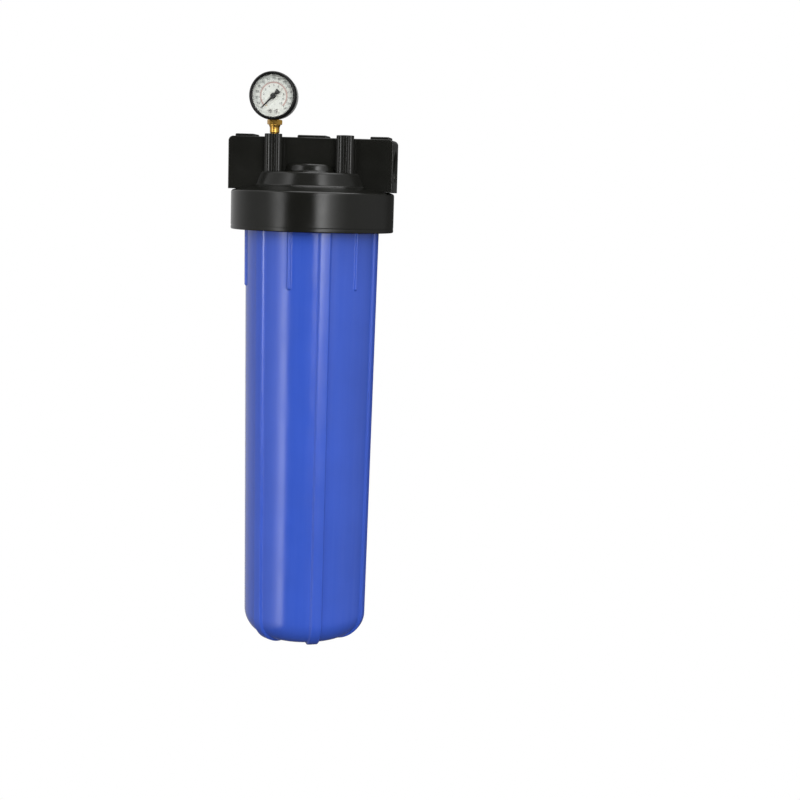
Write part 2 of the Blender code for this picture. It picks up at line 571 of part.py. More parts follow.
sector = prism([(GX + PIVOT_X + a, GZ + PIVOT_Z + b) for a, b in sector_outline()], GY - 1.6, GY - 0.2)
sector_gear = add_object("sector_gear", sector, BRASS, pivot=(GX + PIVOT_X, GY, GZ + PIVOT_Z), parent=gauge, smooth=False)
boolean(sector_gear, cutter("cut_sector_eye", along_y(disc(0.75, -4, 4, 10), GX + PIVOT_X, GY, GZ + PIVOT_Z)))


def ribbon(points, half_wide, y0, y1):
    """A bar of even width that follows flat points, extruded from y0 to y1."""
    left, right = [], []
    for i, (a, b) in enumerate(points):
        before, after = points[max(i - 1, 0)], points[min(i + 1, len(points) - 1)]
        dx, dz = after[0] - before[0], after[1] - before[1]
        size = math.hypot(dx, dz)
        nx, nz = -dz / size, dx / size
        left.append((GX + a + nx * half_wide, GZ + b + nz * half_wide))
        right.append((GX + a - nx * half_wide, GZ + b - nz * half_wide))
    return prism(left + right[::-1], GY + y0, GY + y1)


# Bourdon tube: from the stem's block up the left side, over the top and down on the right.
TUBE_R = 20.0
tube_path = [(-7.6, -17.2)] + arc(0, 0, TUBE_R, 236, -18, 26)
bourdon_tube = add_object("bourdon_tube", ribbon(tube_path, 1.1, -1.9, 2.6), BRASS, pivot=(GX, GY, GZ), parent=gauge)
tip_x, tip_z = TUBE_R * math.cos(math.radians(-18)), TUBE_R * math.sin(math.radians(-18))
link_path = [(tip_x - 1.4, tip_z - 2.0), (12.6, -12.6)]
tip_link = add_object("tip_link", ribbon(link_path, 0.8, -2.9, -2.3), STEEL, pivot=(GX, GY, GZ), parent=gauge, smooth=False)

# Hairspring: a flat spiral round the pinion shaft, its outer end by the front plate.
spiral = [((2.0 + 2.6 * i / 28) * math.cos(TAU * 2 * i / 28), (2.0 + 2.6 * i / 28) * math.sin(TAU * 2 * i / 28)) for i in range(29)]
hairspring = add_object("hairspring", ribbon(spiral, 0.12, -4.2, -3.1), BRASS, pivot=(GX, GY, GZ), parent=gauge)

vent_plug = add_object(
    "vent_plug", turned_y([(0, 10.6), (3.6, 10.6), (4.4, 10.0), (4.4, 9.3), (3.0, 9.3), (3.0, 7.2), (0, 7.2)], 16, closed=False, z=17.0),
    RUBBER, pivot=(GX, GY, GZ), parent=gauge,
)
for name, x in (("left", -3.6), ("right", 3.6)):
    screw = turned_y([(0, 10.9), (2.0, 10.9), (2.6, 10.3), (2.6, 9.3), (1.2, 9.3), (1.2, 5.9), (0, 5.9)], 12, closed=False, x=x, z=-15.2)
    add_object("case_screw_" + name, screw, STEEL, pivot=(GX, GY, GZ), parent=gauge)
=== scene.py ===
"""Looks of the bag-type cartridge filter housing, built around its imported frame.

Meshes are built in millimetres in the frame's own axes: +Z up, origin on the
floor under the middle of the sump, +X along the two pipe ports, -Y the front.
"""

import math

import bmesh
import bpy
import numpy as np
from mathutils import Matrix, Vector


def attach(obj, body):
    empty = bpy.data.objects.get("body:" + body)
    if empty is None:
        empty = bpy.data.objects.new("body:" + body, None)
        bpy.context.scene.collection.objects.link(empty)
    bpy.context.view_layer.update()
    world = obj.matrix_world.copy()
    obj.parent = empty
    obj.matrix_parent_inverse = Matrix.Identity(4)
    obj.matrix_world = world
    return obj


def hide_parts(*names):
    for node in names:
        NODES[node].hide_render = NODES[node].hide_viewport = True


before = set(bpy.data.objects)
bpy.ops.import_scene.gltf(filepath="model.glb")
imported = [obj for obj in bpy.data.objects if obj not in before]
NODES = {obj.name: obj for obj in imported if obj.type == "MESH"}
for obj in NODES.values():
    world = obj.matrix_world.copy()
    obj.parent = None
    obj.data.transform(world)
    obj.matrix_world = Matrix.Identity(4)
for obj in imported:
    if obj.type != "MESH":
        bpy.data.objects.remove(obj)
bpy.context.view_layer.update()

MM = 0.001
TAU = 2 * math.pi
GX, GY, GZ = -40.7, -24.0, 626.7      # stem axis in X and Y, dial centre in Z
PORT_Z, PORT_R, PORT_DEPTH = 552.5, 16.6, 22.0
BLOCK_X, BLOCK_Y, BLOCK_LOW, BLOCK_HIGH = 94.0, 23.0, 523.5, 582.5
PAD_TOP = 585.5
BOSS_X, BOSS_Y, BOSS_R, BOSS_TOP = 40.7, -24.0, 7.6, 585.8


# --------------------------------------------------------------------- camera
def make_camera():
    yaw, pitch, roll = (math.radians(a) for a in (6.5724, 8.4111, -1.7483))
    ahead = Vector((-math.sin(yaw) * math.cos(pitch), math.cos(yaw) * math.cos(pitch), -math.sin(pitch)))
    right = Vector((math.cos(yaw), math.sin(yaw), 0.0))
    up = right.cross(ahead)
    x_axis = right * math.cos(roll) - up * math.sin(roll)
    y_axis = right * math.sin(roll) + up * math.cos(roll)
    data = bpy.data.cameras.new("camera")
    data.sensor_fit = "HORIZONTAL"
    data.sensor_width = 36.0
    data.lens = 1400.94 / 800 * 36.0
    data.clip_start, data.clip_end = 0.02, 60.0
    cam = bpy.data.objects.new("camera", data)
    bpy.context.scene.collection.objects.link(cam)
    matrix = Matrix((x_axis, y_axis, -ahead)).transposed().to_4x4()
    matrix.translation = Vector((0.2913, -1.596, 0.5243))
    cam.matrix_world = matrix
    bpy.context.scene.camera = cam


make_camera()


# -------------------------------------------------------------------- helpers
def smooth(t):
    t = max(0.0, min(1.0, t))
    return t * t * (3 - 2 * t)


def clamp(t):
    return max(0.0, min(1.0, t))


def fillet(points, radius=0.6, special=None, closed=False, n=4):
    """Rounds the corners of a flat polyline with short quadratic curves."""
    special = special or {}
    out, count = [], len(points)
    for i, p in enumerate(points):
        r = special.get(i, radius)
        if r <= 0 or (not closed and i in (0, count - 1)):
            out.append(tuple(p))
            continue
        p = Vector(p)
        a, b = Vector(points[i - 1]), Vector(points[(i + 1) % count])
        da, db = (a - p), (b - p)
        if da.length < 1e-6 or db.length < 1e-6 or abs(da.normalized().dot(db.normalized())) > 0.9995:
            out.append(tuple(p))
            continue
        ra, rb = min(r, da.length * 0.45), min(r, db.length * 0.45)
        start, end = p + da.normalized() * ra, p + db.normalized() * rb
        for k in range(n + 1):
            t = k / n
            q = start * (1 - t) ** 2 + p * 2 * t * (1 - t) + end * t ** 2
            out.append(tuple(q))
    return out


def arc(cx, cy, r, a0, a1, n):
    return [
        (cx + r * math.cos(math.radians(a0 + (a1 - a0) * i / n)),
         cy + r * math.sin(math.radians(a0 + (a1 - a0) * i / n)))
        for i in range(n + 1)
    ]


def lathe(profile, steps, closed=False, wave=None):
    """Turns (radius, height) points about Z. wave(angle, row, r, z) may change a point's radius and height."""
    bm = bmesh.new()
    rings = []
    for row, (r, z) in enumerate(profile):
        if r < 1e-6:
            rings.append(bm.verts.new((0, 0, z)))
            continue
        ring = []
        for i in range(steps):
            a = TAU * i / steps
            rr, zz = wave(a, row, r, z) if wave else (r, z)
            ring.append(bm.verts.new((rr * math.cos(a), rr * math.sin(a), zz)))
        rings.append(ring)
    pairs = list(zip(rings, rings[1:]))
    if closed:
        pairs.append((rings[-1], rings[0]))
    for low, high in pairs:
        for i in range(steps):
            j = (i + 1) % steps
            if isinstance(low, list) and isinstance(high, list):
                bm.faces.new((low[i], low[j], high[j], high[i]))
            elif isinstance(low, list):
                bm.faces.new((low[i], low[j], high))
            elif isinstance(high, list):
                bm.faces.new((low, high[j], high[i]))
    return bm


def place(bm, matrix):
    bmesh.ops.transform(bm, matrix=matrix, verts=bm.verts)
    return bm


def move(bm, x, y, z):
    return place(bm, Matrix.Translation((x, y, z)))


def along_y(bm, x, y, z):
    return place(bm, Matrix.Translation((x, y, z)) @ Matrix.Rotation(-math.pi / 2, 4, "X"))


def along_x(bm, x, y, z):
    return place(bm, Matrix.Translation((x, y, z)) @ Matrix.Rotation(math.pi / 2, 4, "Y"))


def rod(radius, low, high, steps, rounding=0.0):
    points = [(0, high), (radius, high), (radius, low), (0, low)]
    return lathe(fillet(points, rounding, n=3) if rounding else points, steps)


def prism(outline, low, high, plane="XZ"):
    bm = bmesh.new()
    if plane == "XZ":
        near = [bm.verts.new((a, low, b)) for a, b in outline]
        far = [bm.verts.new((a, high, b)) for a, b in outline]
    else:
        near = [bm.verts.new((a, b, low)) for a, b in outline]
        far = [bm.verts.new((a, b, high)) for a, b in outline]
    bm.faces.new(near)
    bm.faces.new(far[::-1])
    n = len(outline)
    for i in range(n):
        j = (i + 1) % n
        bm.faces.new((near[i], near[j], far[j], far[i]))
    return bm


def bevel_edges(bm, wanted, offset, segments=2):
    bm.edges.ensure_lookup_table()
    bmesh.ops.recalc_face_normals(bm, faces=bm.faces)
    edges = [e for e in bm.edges if wanted(e)]
    bmesh.ops.bevel(bm, geom=edges, offset=offset, segments=segments, profile=0.5, affect="EDGES", clamp_overlap=True)
    return bm


def join(*parts):
    whole = bmesh.new()
    for bm in parts:
        scratch = bpy.data.meshes.new("scratch")
        bm.to_mesh(scratch)
        bm.free()
        whole.from_mesh(scratch)
        bpy.data.meshes.remove(scratch)
    return whole


def scratch_object(bm):
    bmesh.ops.remove_doubles(bm, verts=bm.verts, dist=1e-5)
    bmesh.ops.recalc_face_normals(bm, faces=bm.faces)
    if bm.calc_volume(signed=True) < 0:
        bmesh.ops.reverse_faces(bm, faces=bm.faces)
    mesh = bpy.data.meshes.new("scratch")
    bm.to_mesh(mesh)
    bm.free()
    obj = bpy.data.objects.new("scratch", mesh)
    bpy.context.scene.collection.objects.link(obj)
    return obj


def combine(base, steps, modifiers=()):
    """Applies Booleans to base: steps are (operation, bmesh) pairs. Returns the mesh that results."""
    obj = base if isinstance(base, bpy.types.Object) else scratch_object(base)
    tools = []
    for operation, bm in steps:
        tool = scratch_object(bm)
        mod = obj.modifiers.new("boolean", "BOOLEAN")
        mod.operation, mod.solver, mod.object = operation, "EXACT", tool
        tools.append(tool)
    for kind, settings in modifiers:
        mod = obj.modifiers.new(kind.lower(), kind)
        for key, value in settings.items():
            setattr(mod, key, value)
    bpy.context.view_layer.update()
    graph = bpy.context.evaluated_depsgraph_get()
    mesh = bpy.data.meshes.new_from_object(obj.evaluated_get(graph))
    for thing in [obj] + tools:
        data = thing.data
        bpy.data.objects.remove(thing, do_unlink=True)
        bpy.data.meshes.remove(data)
    return mesh


def mesh_to_bm(mesh):
    bm = bmesh.new()
    bm.from_mesh(mesh)
    bpy.data.meshes.remove(mesh)
    return bm


def finish_piece(name, shape, mats, body, replaces=(), sharp=32.0, weighted=False):
    """Names a mesh built in millimetres, gives it its material and lets it ride on its body."""
    if isinstance(shape, bpy.types.Mesh):
        mesh = shape
    else:
        bmesh.ops.remove_doubles(shape, verts=shape.verts, dist=1e-5)
        bmesh.ops.recalc_face_normals(shape, faces=shape.faces)
        if shape.calc_volume(signed=True) < 0:
            bmesh.ops.reverse_faces(shape, faces=shape.faces)
        mesh = bpy.data.meshes.new(name)
        shape.to_mesh(mesh)
        shape.free()
    mesh.name = name
    mesh.transform(Matrix.Scale(MM, 4))
    mesh.materials.clear()
    for mat in mats if isinstance(mats, (list, tuple)) else [mats]:
        mesh.materials.append(mat)
    mesh.shade_smooth()
    mesh.set_sharp_from_angle(angle=math.radians(sharp))
    obj = bpy.data.objects.new(name, mesh)
    bpy.context.scene.collection.objects.link(obj)
    if weighted:
        mod = obj.modifiers.new("weighted", "WEIGHTED_NORMAL")
        mod.keep_sharp, mod.weight = True, 60
    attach(obj, body)
    if replaces:
        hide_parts(*replaces)
    return obj


# ------------------------------------------------------------------ materials
def new_material(name, colour, roughness, metallic=0.0, **sockets):
    mat = bpy.data.materials.new(name)
    mat.use_nodes = True
    tree = mat.node_tree
    shader = tree.nodes["Principled BSDF"]
    shader.inputs["Base Color"].default_value = (*colour, 1.0)
    shader.inputs["Roughness"].default_value = roughness
    shader.inputs["Metallic"].default_value = metallic
    for key, value in sockets.items():
        shader.inputs[key.replace("_", " ")].default_value = value
    coords = tree.nodes.new("ShaderNodeTexCoord")
    return mat, tree, shader, coords.outputs["Object"]


def noise_node(tree, coords, scale, detail=3.0, rough=0.55, stretch=None):
    node = tree.nodes.new("ShaderNodeTexNoise")
    node.inputs["Scale"].default_value = scale
    node.inputs["Detail"].default_value = detail
    node.inputs["Roughness"].default_value = rough
    if stretch:
        mapping = tree.nodes.new("ShaderNodeMapping")
        mapping.inputs["Scale"].default_value = stretch
        tree.links.new(coords, mapping.inputs["Vector"])
        coords = mapping.outputs["Vector"]
    tree.links.new(coords, node.inputs["Vector"])
    return node.outputs["Fac"]


def remap(tree, value, low, high, out_low, out_high):
    node = tree.nodes.new("ShaderNodeMapRange")
    for key, number in zip(("From Min", "From Max", "To Min", "To Max"), (low, high, out_low, out_high)):
        node.inputs[key].default_value = number
    tree.links.new(value, node.inputs["Value"])
    return node.outputs["Result"]


def mix_colour(tree, fac, a, b, blend="MIX"):
    node = tree.nodes.new("ShaderNodeMix")
    node.data_type, node.blend_type = "RGBA", blend
    if isinstance(fac, (int, float)):
        node.inputs[0].default_value = fac
    else:
        tree.links.new(fac, node.inputs[0])
    for socket, colour in ((node.inputs[6], a), (node.inputs[7], b)):
        if isinstance(colour, tuple):
            socket.default_value = (*colour, 1.0)
        else:
            tree.links.new(colour, socket)
    return node.outputs[2]


def maths(tree, operation, a, b=None):
    node = tree.nodes.new("ShaderNodeMath")
    node.operation = operation
    for socket, value in zip(node.inputs, (a, b)):
        if value is None:
            continue
        if isinstance(value, (int, float)):
            socket.default_value = value
        else:
            tree.links.new(value, socket)
    return node.outputs[0]


def bump(tree, shader, heights):
    """heights: (value, metres) pairs, added up."""
    normal = None
    for value, distance in heights:
        node = tree.nodes.new("ShaderNodeBump")
        node.inputs["Strength"].default_value = 1.0
        node.inputs["Distance"].default_value = distance
        tree.links.new(value, node.inputs["Height"])
        if normal is not None:
            tree.links.new(normal, node.inputs["Normal"])
        normal = node.outputs["Normal"]
    tree.links.new(normal, shader.inputs["Normal"])


def worn_edges(tree, strength, low=0.52, high=0.62):
    """A mask of convex edges from the surface's own pointiness."""
    geometry = tree.nodes.new("ShaderNodeNewGeometry")
    return maths(tree, "MULTIPLY", remap(tree, geometry.outputs["Pointiness"], low, high, 0.0, 1.0), strength)


def moulded(name, colour, pale, roughness, grain, wave, spread=0.10, streak=0.05, scuff=0.05, ior=1.49, level=0.5):
    """Injection-moulded plastic: cloudy tone, faint flow lines, fine grain, slow ripples and light scuffs."""
    mat, tree, shader, coords = new_material(name, colour, roughness, IOR=ior, Specular_IOR_Level=level)
    cloud = noise_node(tree, coords, 14.0, 3.0)
    flow = noise_node(tree, coords, 1.0, 4.0, 0.6, stretch=(150.0, 150.0, 5.0))
    fine = noise_node(tree, coords, 2600.0, 2.0)
    dark = tuple(c * (1 - spread) for c in colour)
    light = tuple(min(1.0, c * (1 + spread)) for c in colour)
    base = mix_colour(tree, remap(tree, cloud, 0.3, 0.7, 0.0, 1.0), dark, light)
    base = mix_colour(tree, remap(tree, flow, 0.35, 0.75, 0.0, streak), base, pale)
    scratch = noise_node(tree, coords, 1.0, 6.0, 0.75, stretch=(700.0, 700.0, 90.0))
    scratch = remap(tree, scratch, 0.66, 0.74, 0.0, scuff)
    base = mix_colour(tree, scratch, base, pale)
    tree.links.new(base, shader.inputs["Base Color"])
    patch = remap(tree, noise_node(tree, coords, 40.0, 4.0), 0.3, 0.7, roughness - 0.045, roughness + 0.055)
    tree.links.new(maths(tree, "ADD", patch, maths(tree, "MULTIPLY", scratch, 1.2)), shader.inputs["Roughness"])
    ripple = noise_node(tree, coords, 9.0, 2.0)
    bump(tree, shader, [(ripple, wave), (fine, grain)])
    return mat


def metal(name, colour, stain, roughness, grain=0.000012, brushed=None, stain_share=0.35, edge=0.0):
    mat, tree, shader, coords = new_material(name, colour, roughness, 1.0)
    cloud = noise_node(tree, coords, 180.0, 5.0, 0.6)
    base = mix_colour(tree, remap(tree, cloud, 0.45, 0.75, 0.0, stain_share), colour, stain)
    tree.links.new(base, shader.inputs["Base Color"])
    lines = noise_node(tree, coords, 1.0, 3.0, 0.6, stretch=brushed or (900.0, 900.0, 900.0))
    rough = remap(tree, lines, 0.3, 0.7, roughness - 0.07, roughness + 0.09)
    tree.links.new(rough, shader.inputs["Roughness"])
    bump(tree, shader, [(lines, grain)])
    return mat


BLUE = moulded("blue_polypropylene", (0.028, 0.073, 0.410), (0.16, 0.25, 0.66), 0.19, 0.000004, 0.0007, spread=0.05, streak=0.04, scuff=0.02)
BLACK = moulded("black_polypropylene", (0.0062, 0.0063, 0.0052), (0.05, 0.05, 0.045), 0.20, 0.000008, 0.0007, spread=0.15, streak=0.02, scuff=0.04, level=0.30)
WHITE = moulded("white_polypropylene", (0.640, 0.625, 0.700), (0.80, 0.79, 0.84), 0.40, 0.000008, 0.0010, spread=0.03, streak=0.15, scuff=0.10)
SNAP = moulded("ring_polypropylene", (0.690, 0.680, 0.700), (0.82, 0.81, 0.82), 0.38, 0.000008, 0.0008, spread=0.03, streak=0.12, scuff=0.08)


def felt_material():
    """Needled felt: pressed fibres in every direction, glazed in patches, with pores."""
    mat, tree, shader, coords = new_material("needle_felt", (0.74, 0.73, 0.69), 0.92, Sheen_Weight=0.35, Sheen_Roughness=0.6)
    fibre = noise_node(tree, coords, 1.0, 6.0, 0.7, stretch=(900.0, 900.0, 900.0))
    lines = noise_node(tree, coords, 1.0, 5.0, 0.7, stretch=(2200.0, 2200.0, 300.0))
    cells = tree.nodes.new("ShaderNodeTexVoronoi")
    cells.inputs["Scale"].default_value = 520.0
    tree.links.new(coords, cells.inputs["Vector"])
    pore = remap(tree, cells.outputs["Distance"], 0.0, 0.7, 0.0, 1.0)
    base = mix_colour(tree, remap(tree, fibre, 0.35, 0.7, 0.0, 1.0), (0.60, 0.585, 0.55), (0.80, 0.79, 0.76))
    soil = remap(tree, noise_node(tree, coords, 22.0, 4.0), 0.45, 0.8, 0.0, 0.35)
    base = mix_colour(tree, soil, base, (0.62, 0.56, 0.46))
    tree.links.new(base, shader.inputs["Base Color"])
    bump(tree, shader, [(fibre, 0.00035), (lines, 0.00018), (pore, 0.00012)])
    return mat


FELT = felt_material()


def rubber_material():
    mat, tree, shader, coords = new_material("nitrile_rubber", (0.016, 0.016, 0.017), 0.55)
    dust = remap(tree, noise_node(tree, coords, 120.0, 5.0, 0.65), 0.5, 0.8, 0.0, 0.5)
    base = mix_colour(tree, dust, (0.014, 0.014, 0.015), (0.055, 0.054, 0.052))
    tree.links.new(base, shader.inputs["Base Color"])
    tree.links.new(remap(tree, dust, 0.0, 0.5, 0.42, 0.7), shader.inputs["Roughness"])
    bump(tree, shader, [(noise_node(tree, coords, 1500.0, 3.0), 0.00002)])
    return mat


RUBBER = rubber_material()
BRASS = metal("turned_brass", (0.62, 0.36, 0.075), (0.34, 0.18, 0.04), 0.30, brushed=(200.0, 200.0, 5200.0), grain=0.000010, stain_share=0.5)
SPRING = metal("spring_bronze", (0.72, 0.43, 0.20), (0.45, 0.25, 0.12), 0.30)
TUBE = metal("tube_bronze", (0.70, 0.47, 0.20), (0.40, 0.26, 0.12), 0.34)
STEEL = metal("plain_steel", (0.52, 0.52, 0.53), (0.30, 0.30, 0.31), 0.32, brushed=(2400.0, 300.0, 2400.0))
SCREW = metal("zinc_plated_screw", (0.62, 0.61, 0.58), (0.42, 0.40, 0.36), 0.30)


def painted(name, colour, worn, roughness, wear=0.35, grain=0.000010, orange=0.00002, coat=0.25, level=0.5):
    mat, tree, shader, coords = new_material(name, colour, roughness, Coat_Weight=coat, Coat_Roughness=0.18, Specular_IOR_Level=level)
    cloud = remap(tree, noise_node(tree, coords, 260.0, 5.0, 0.65), 0.42, 0.75, 0.0, 0.5)
    base = mix_colour(tree, cloud, colour, tuple(min(1.0, c * 1.25 + 0.004) for c in colour))
    chips = maths(tree, "MULTIPLY", worn_edges(tree, wear), remap(tree, noise_node(tree, coords, 900.0, 4.0), 0.45, 0.6, 0.0, 1.0))
    base = mix_colour(tree, chips, base, worn)
    tree.links.new(base, shader.inputs["Base Color"])
    tree.links.new(remap(tree, cloud, 0.0, 0.5, roughness - 0.03, roughness + 0.08), shader.inputs["Roughness"])
    bump(tree, shader, [(noise_node(tree, coords, 420.0, 2.0), orange), (noise_node(tree, coords, 3000.0, 2.0), grain * 0.5)])
    return mat


BEZEL = painted("bezel_black_enamel", (0.0035, 0.0035, 0.0035), (0.05, 0.05, 0.05), 0.30, coat=0.0, level=0.2)
CASE = painted("case_grey_enamel", (0.40, 0.40, 0.39), (0.36, 0.36, 0.36), 0.34)
POINTER = painted("pointer_black", (0.010, 0.010, 0.010), (0.08, 0.08, 0.08), 0.40, wear=0.1)
PRINT = painted("printed_black", (0.020, 0.020, 0.022), (0.05, 0.05, 0.05), 0.55, wear=0.0)
PRINT_RED = painted("printed_rose", (0.43, 0.29, 0.26), (0.46, 0.33, 0.30), 0.55, wear=0.0)


def dial_material():
    mat, tree, shader, coords = new_material("dial_cream_lacquer", (0.66, 0.67, 0.62), 0.42)
    age = remap(tree, noise_node(tree, coords, 70.0, 5.0, 0.6), 0.4, 0.75, 0.0, 0.5)
    base = mix_colour(tree, age, (0.66, 0.68, 0.64), (0.60, 0.58, 0.51))
    specks = remap(tree, noise_node(tree, coords, 2600.0, 2.0), 0.72, 0.78, 0.0, 0.3)
    base = mix_colour(tree, specks, base, (0.40, 0.36, 0.30))
    tree.links.new(base, shader.inputs["Base Color"])
    tree.links.new(remap(tree, age, 0.0, 0.5, 0.38, 0.5), shader.inputs["Roughness"])
    bump(tree, shader, [(noise_node(tree, coords, 1400.0, 3.0), 0.000008)])
    return mat


DIAL = dial_material()


def window_material():
    mat, tree, shader, coords = new_material("clear_acrylic", (0.96, 0.98, 0.98), 0.03, Transmission_Weight=1.0, IOR=1.49, Alpha=0.22)
    smear = noise_node(tree, coords, 90.0, 4.0)
    tree.links.new(remap(tree, smear, 0.4, 0.8, 0.02, 0.10), shader.inputs["Roughness"])
    return mat


WINDOW = window_material()


# ----------------------------------------------------------------------- sump
BASE_Z, CORNER_R, R_AT_45, TAPER = 3.0, 30.0, 71.1, 0.0109
RIB_FOOT, RIB_TOP, RIB_H = 7.3, 5.0, 2.5
SHORT_FOOT, SHORT_TOP, SHORT_H, SHORT_LOW = 2.7, 1.2, 2.0, 414.0
NECK_R, THREAD_R = 79.2, 82.0
LEAD = 7.0


def outer_r(z):
    return R_AT_45 + (z - 45.0) * TAPER


def ridge(angle, z, phase, foot, top):
    """Height share, 0 to 1, of a right-hand helical thread at an angle and a height."""
    s = (z - phase - LEAD * angle / TAU) % LEAD
    return clamp((foot - abs(s - LEAD / 2)) / (foot - top))


def sump_columns():
    full = [0.0, 2.0, 3.6, 4.5, 5.0, 5.4, 5.8, 6.2, 6.6, 7.0, 7.5, 8.2]
    short = [0.0, 0.5, 0.9, 1.25, 1.6, 1.95, 2.3, 2.7, 3.3]
    full = [-a for a in full[:0:-1]] + full
    short = [-a for a in short[:0:-1]] + short
    columns = []
    for k in range(6):
        for base, offsets, kind in ((21.5 + 60 * k, full, 0), (51.5 + 60 * k, short, 1)):
            columns += [(math.radians(base), off, kind) for off in offsets]
            columns += [None] * 6
    return columns


def column_angles(columns, r):
    r = max(r, 30.0)
    angles = [None if c is None else c[0] + math.asin(c[1] / r) for c in columns]
    i = 0
    while i < len(angles):
        if angles[i] is not None:
            i += 1
            continue
        j = i
        while j < len(angles) and angles[j] is None:
            j += 1
        after = angles[j] if j < len(angles) else angles[0] + TAU
        before = angles[i - 1]
        for k in range(i, j):
            angles[k] = before + (after - before) * (k - i + 1) / (j - i + 1)
        i = j
    return angles


def sump_rows():
    """(radius, height, normal out, normal up, full rib height, short ribs on, thread on)."""
    rows = []

    def add(r, z, out=0.0, up=-1.0, full=0.0, short=0, thread=0):
        rows.append((r, z, out, up, full, short, thread))

    for r, z in ((1.2, 4.75), (2.1, 4.75), (2.6, 4.95), (2.9, 5.4), (3.3, 5.75), (8.0, 5.78), (12.5, 5.72), (13.1, 5.45), (13.9, 5.45), (14.5, 5.68), (19.0, 5.6), (22.0, 5.5), (26.0, 4.9), (29.0, 4.35)):
        add(r, z)
    centre_z = BASE_Z + CORNER_R
    centre_r = outer_r(centre_z) - CORNER_R
    for r in (30.0, 30.8, 31.6, 32.4, 33.2, 34.0, 34.6, 35.0, 36.5, 38.0, 39.5, centre_r):
        z = 4.2 - 0.8 * (r - 30) / 5 if r <= 35 else 3.4 - 0.4 * (r - 35) / (centre_r - 35)
        add(r, z, full=smooth((r - 30.0) / 4.6) * z)
    for i in range(1, 25):
        a = math.radians(-90 + 90 * i / 24)
        add(centre_r + CORNER_R * math.cos(a), centre_z + CORNER_R * math.sin(a), math.cos(a), math.sin(a), BASE_Z + (RIB_H - BASE_Z) * i / 24)
    z = centre_z
    while z < 408.0:
        z += 7.5
        add(outer_r(z), z, 1, 0, RIB_H)
    for k in range(18):
        z = 413.4 + 0.4 * k
        add(outer_r(z), z, 1, 0, RIB_H, 1)
    for z in (423.0, 430.0, 438.0, 446.0, 454.0, 462.0, 470.0, 476.0, 480.0):
        add(outer_r(z), z, 1, 0, RIB_H, 1)
    for k in range(1, 8):
        t = k / 7
        add(outer_r(480) + (79.6 - outer_r(480)) * smooth(t), 480 + 5.5 * t, 1, 0, RIB_H * (1 - t), 1 - t)
    for r, z in ((80.6, 486.2), (81.5, 486.9), (81.8, 487.4), (81.8, 488.7), (81.5, 489.2), (79.9, 490.0), (79.3, 490.4)):
        add(r, z, 1, 0)
    z = 490.8
    while z < 508.2:
        add(NECK_R, z, 1, 0, 0, 0, 1)
        z += 0.45
    top = [(NECK_R, 509.0), (78.9, 511.4), (78.3, 512.0), (77.3, 512.0), (76.95, 511.7), (76.9, 509.0), (76.5, 508.6), (72.5, 508.6),
           (72.1, 509.0), (72.05, 511.7), (71.7, 512.0), (70.5, 512.0), (70.0, 511.7), (69.65, 511.0), (69.4, 485.4), (69.1, 485.0), (67.4, 485.0), (67.0, 484.5)]
    for r, z in top:
        add(r, z, 1, 0)
    for k in range(1, 15):
        z = 484.5 + (38.0 - 484.5) * k / 14
        add(64.8 + (67.0 - 64.8) * (z - 38.0) / 447.0, z, 1, 0)
    for r, z in arc(38.8, 36.0, 26.0, -8, -90, 10):
        add(r, z, 1, 0)
    for r, z in ((30.0, 10.0), (20.0, 10.0), (10.0, 10.0)):
        add(r, z, 1, 0)
    return rows


def build_sump():
    bm = bmesh.new()
    columns, rings = sump_columns(), []
    n = len(columns)
    for r, z, out, up, full, short, thread in sump_rows():
        angles = column_angles(columns, r)
        ring = []
        for column, angle in zip(columns, angles):
            lift = 0.0
            if column is not None and column[2] == 0 and full:
                lift = full * smooth((RIB_FOOT + 0.4 - abs(column[1])) / (RIB_FOOT + 0.4 - RIB_TOP))
            elif column is not None and column[2] == 1 and short:
                end = SHORT_LOW + SHORT_FOOT
                d = math.hypot(column[1], max(0.0, end - z))
                lift = SHORT_H * short * smooth((SHORT_FOOT + 0.3 - d) / (SHORT_FOOT + 0.3 - 0.9))
            elif thread:
                fade = clamp((z - 490.6) / 1.2) * clamp((508.6 - z) / 1.6)
                lift = (THREAD_R - NECK_R) * fade * ridge(angle, z, 491.0, 2.5, 1.2)
            if thread and column is not None:
                fade = clamp((z - 490.6) / 1.2) * clamp((508.6 - z) / 1.6)
                lift = (THREAD_R - NECK_R) * fade * ridge(angle, z, 491.0, 2.5, 1.2)
            rr, zz = r + out * lift, z + up * lift
            ring.append(bm.verts.new((rr * math.sin(angle), -rr * math.cos(angle), zz)))
        rings.append(ring)
    for low, high in zip(rings, rings[1:]):
        for i in range(n):
            j = (i + 1) % n
            bm.faces.new((low[i], low[j], high[j], high[i]))
    for ring, z in ((rings[0], 4.75), (rings[-1], 10.0)):
        hub = bm.verts.new((0, 0, z))
        for i in range(n):
            bm.faces.new((ring[i], ring[(i + 1) % n], hub))
    return bm


finish_piece("sump_shell", build_sump(), BLUE, "sump", ["sump_body"], sharp=38)

finish_piece(
    "neck_o_ring",
    lathe([(74.4 + 1.9 * math.cos(TAU * i / 20), 510.7 + 2.0 * math.sin(TAU * i / 20)) for i in range(20)], 192, closed=True),
    RUBBER, "o_ring", ["main_o_ring"], sharp=60,
)


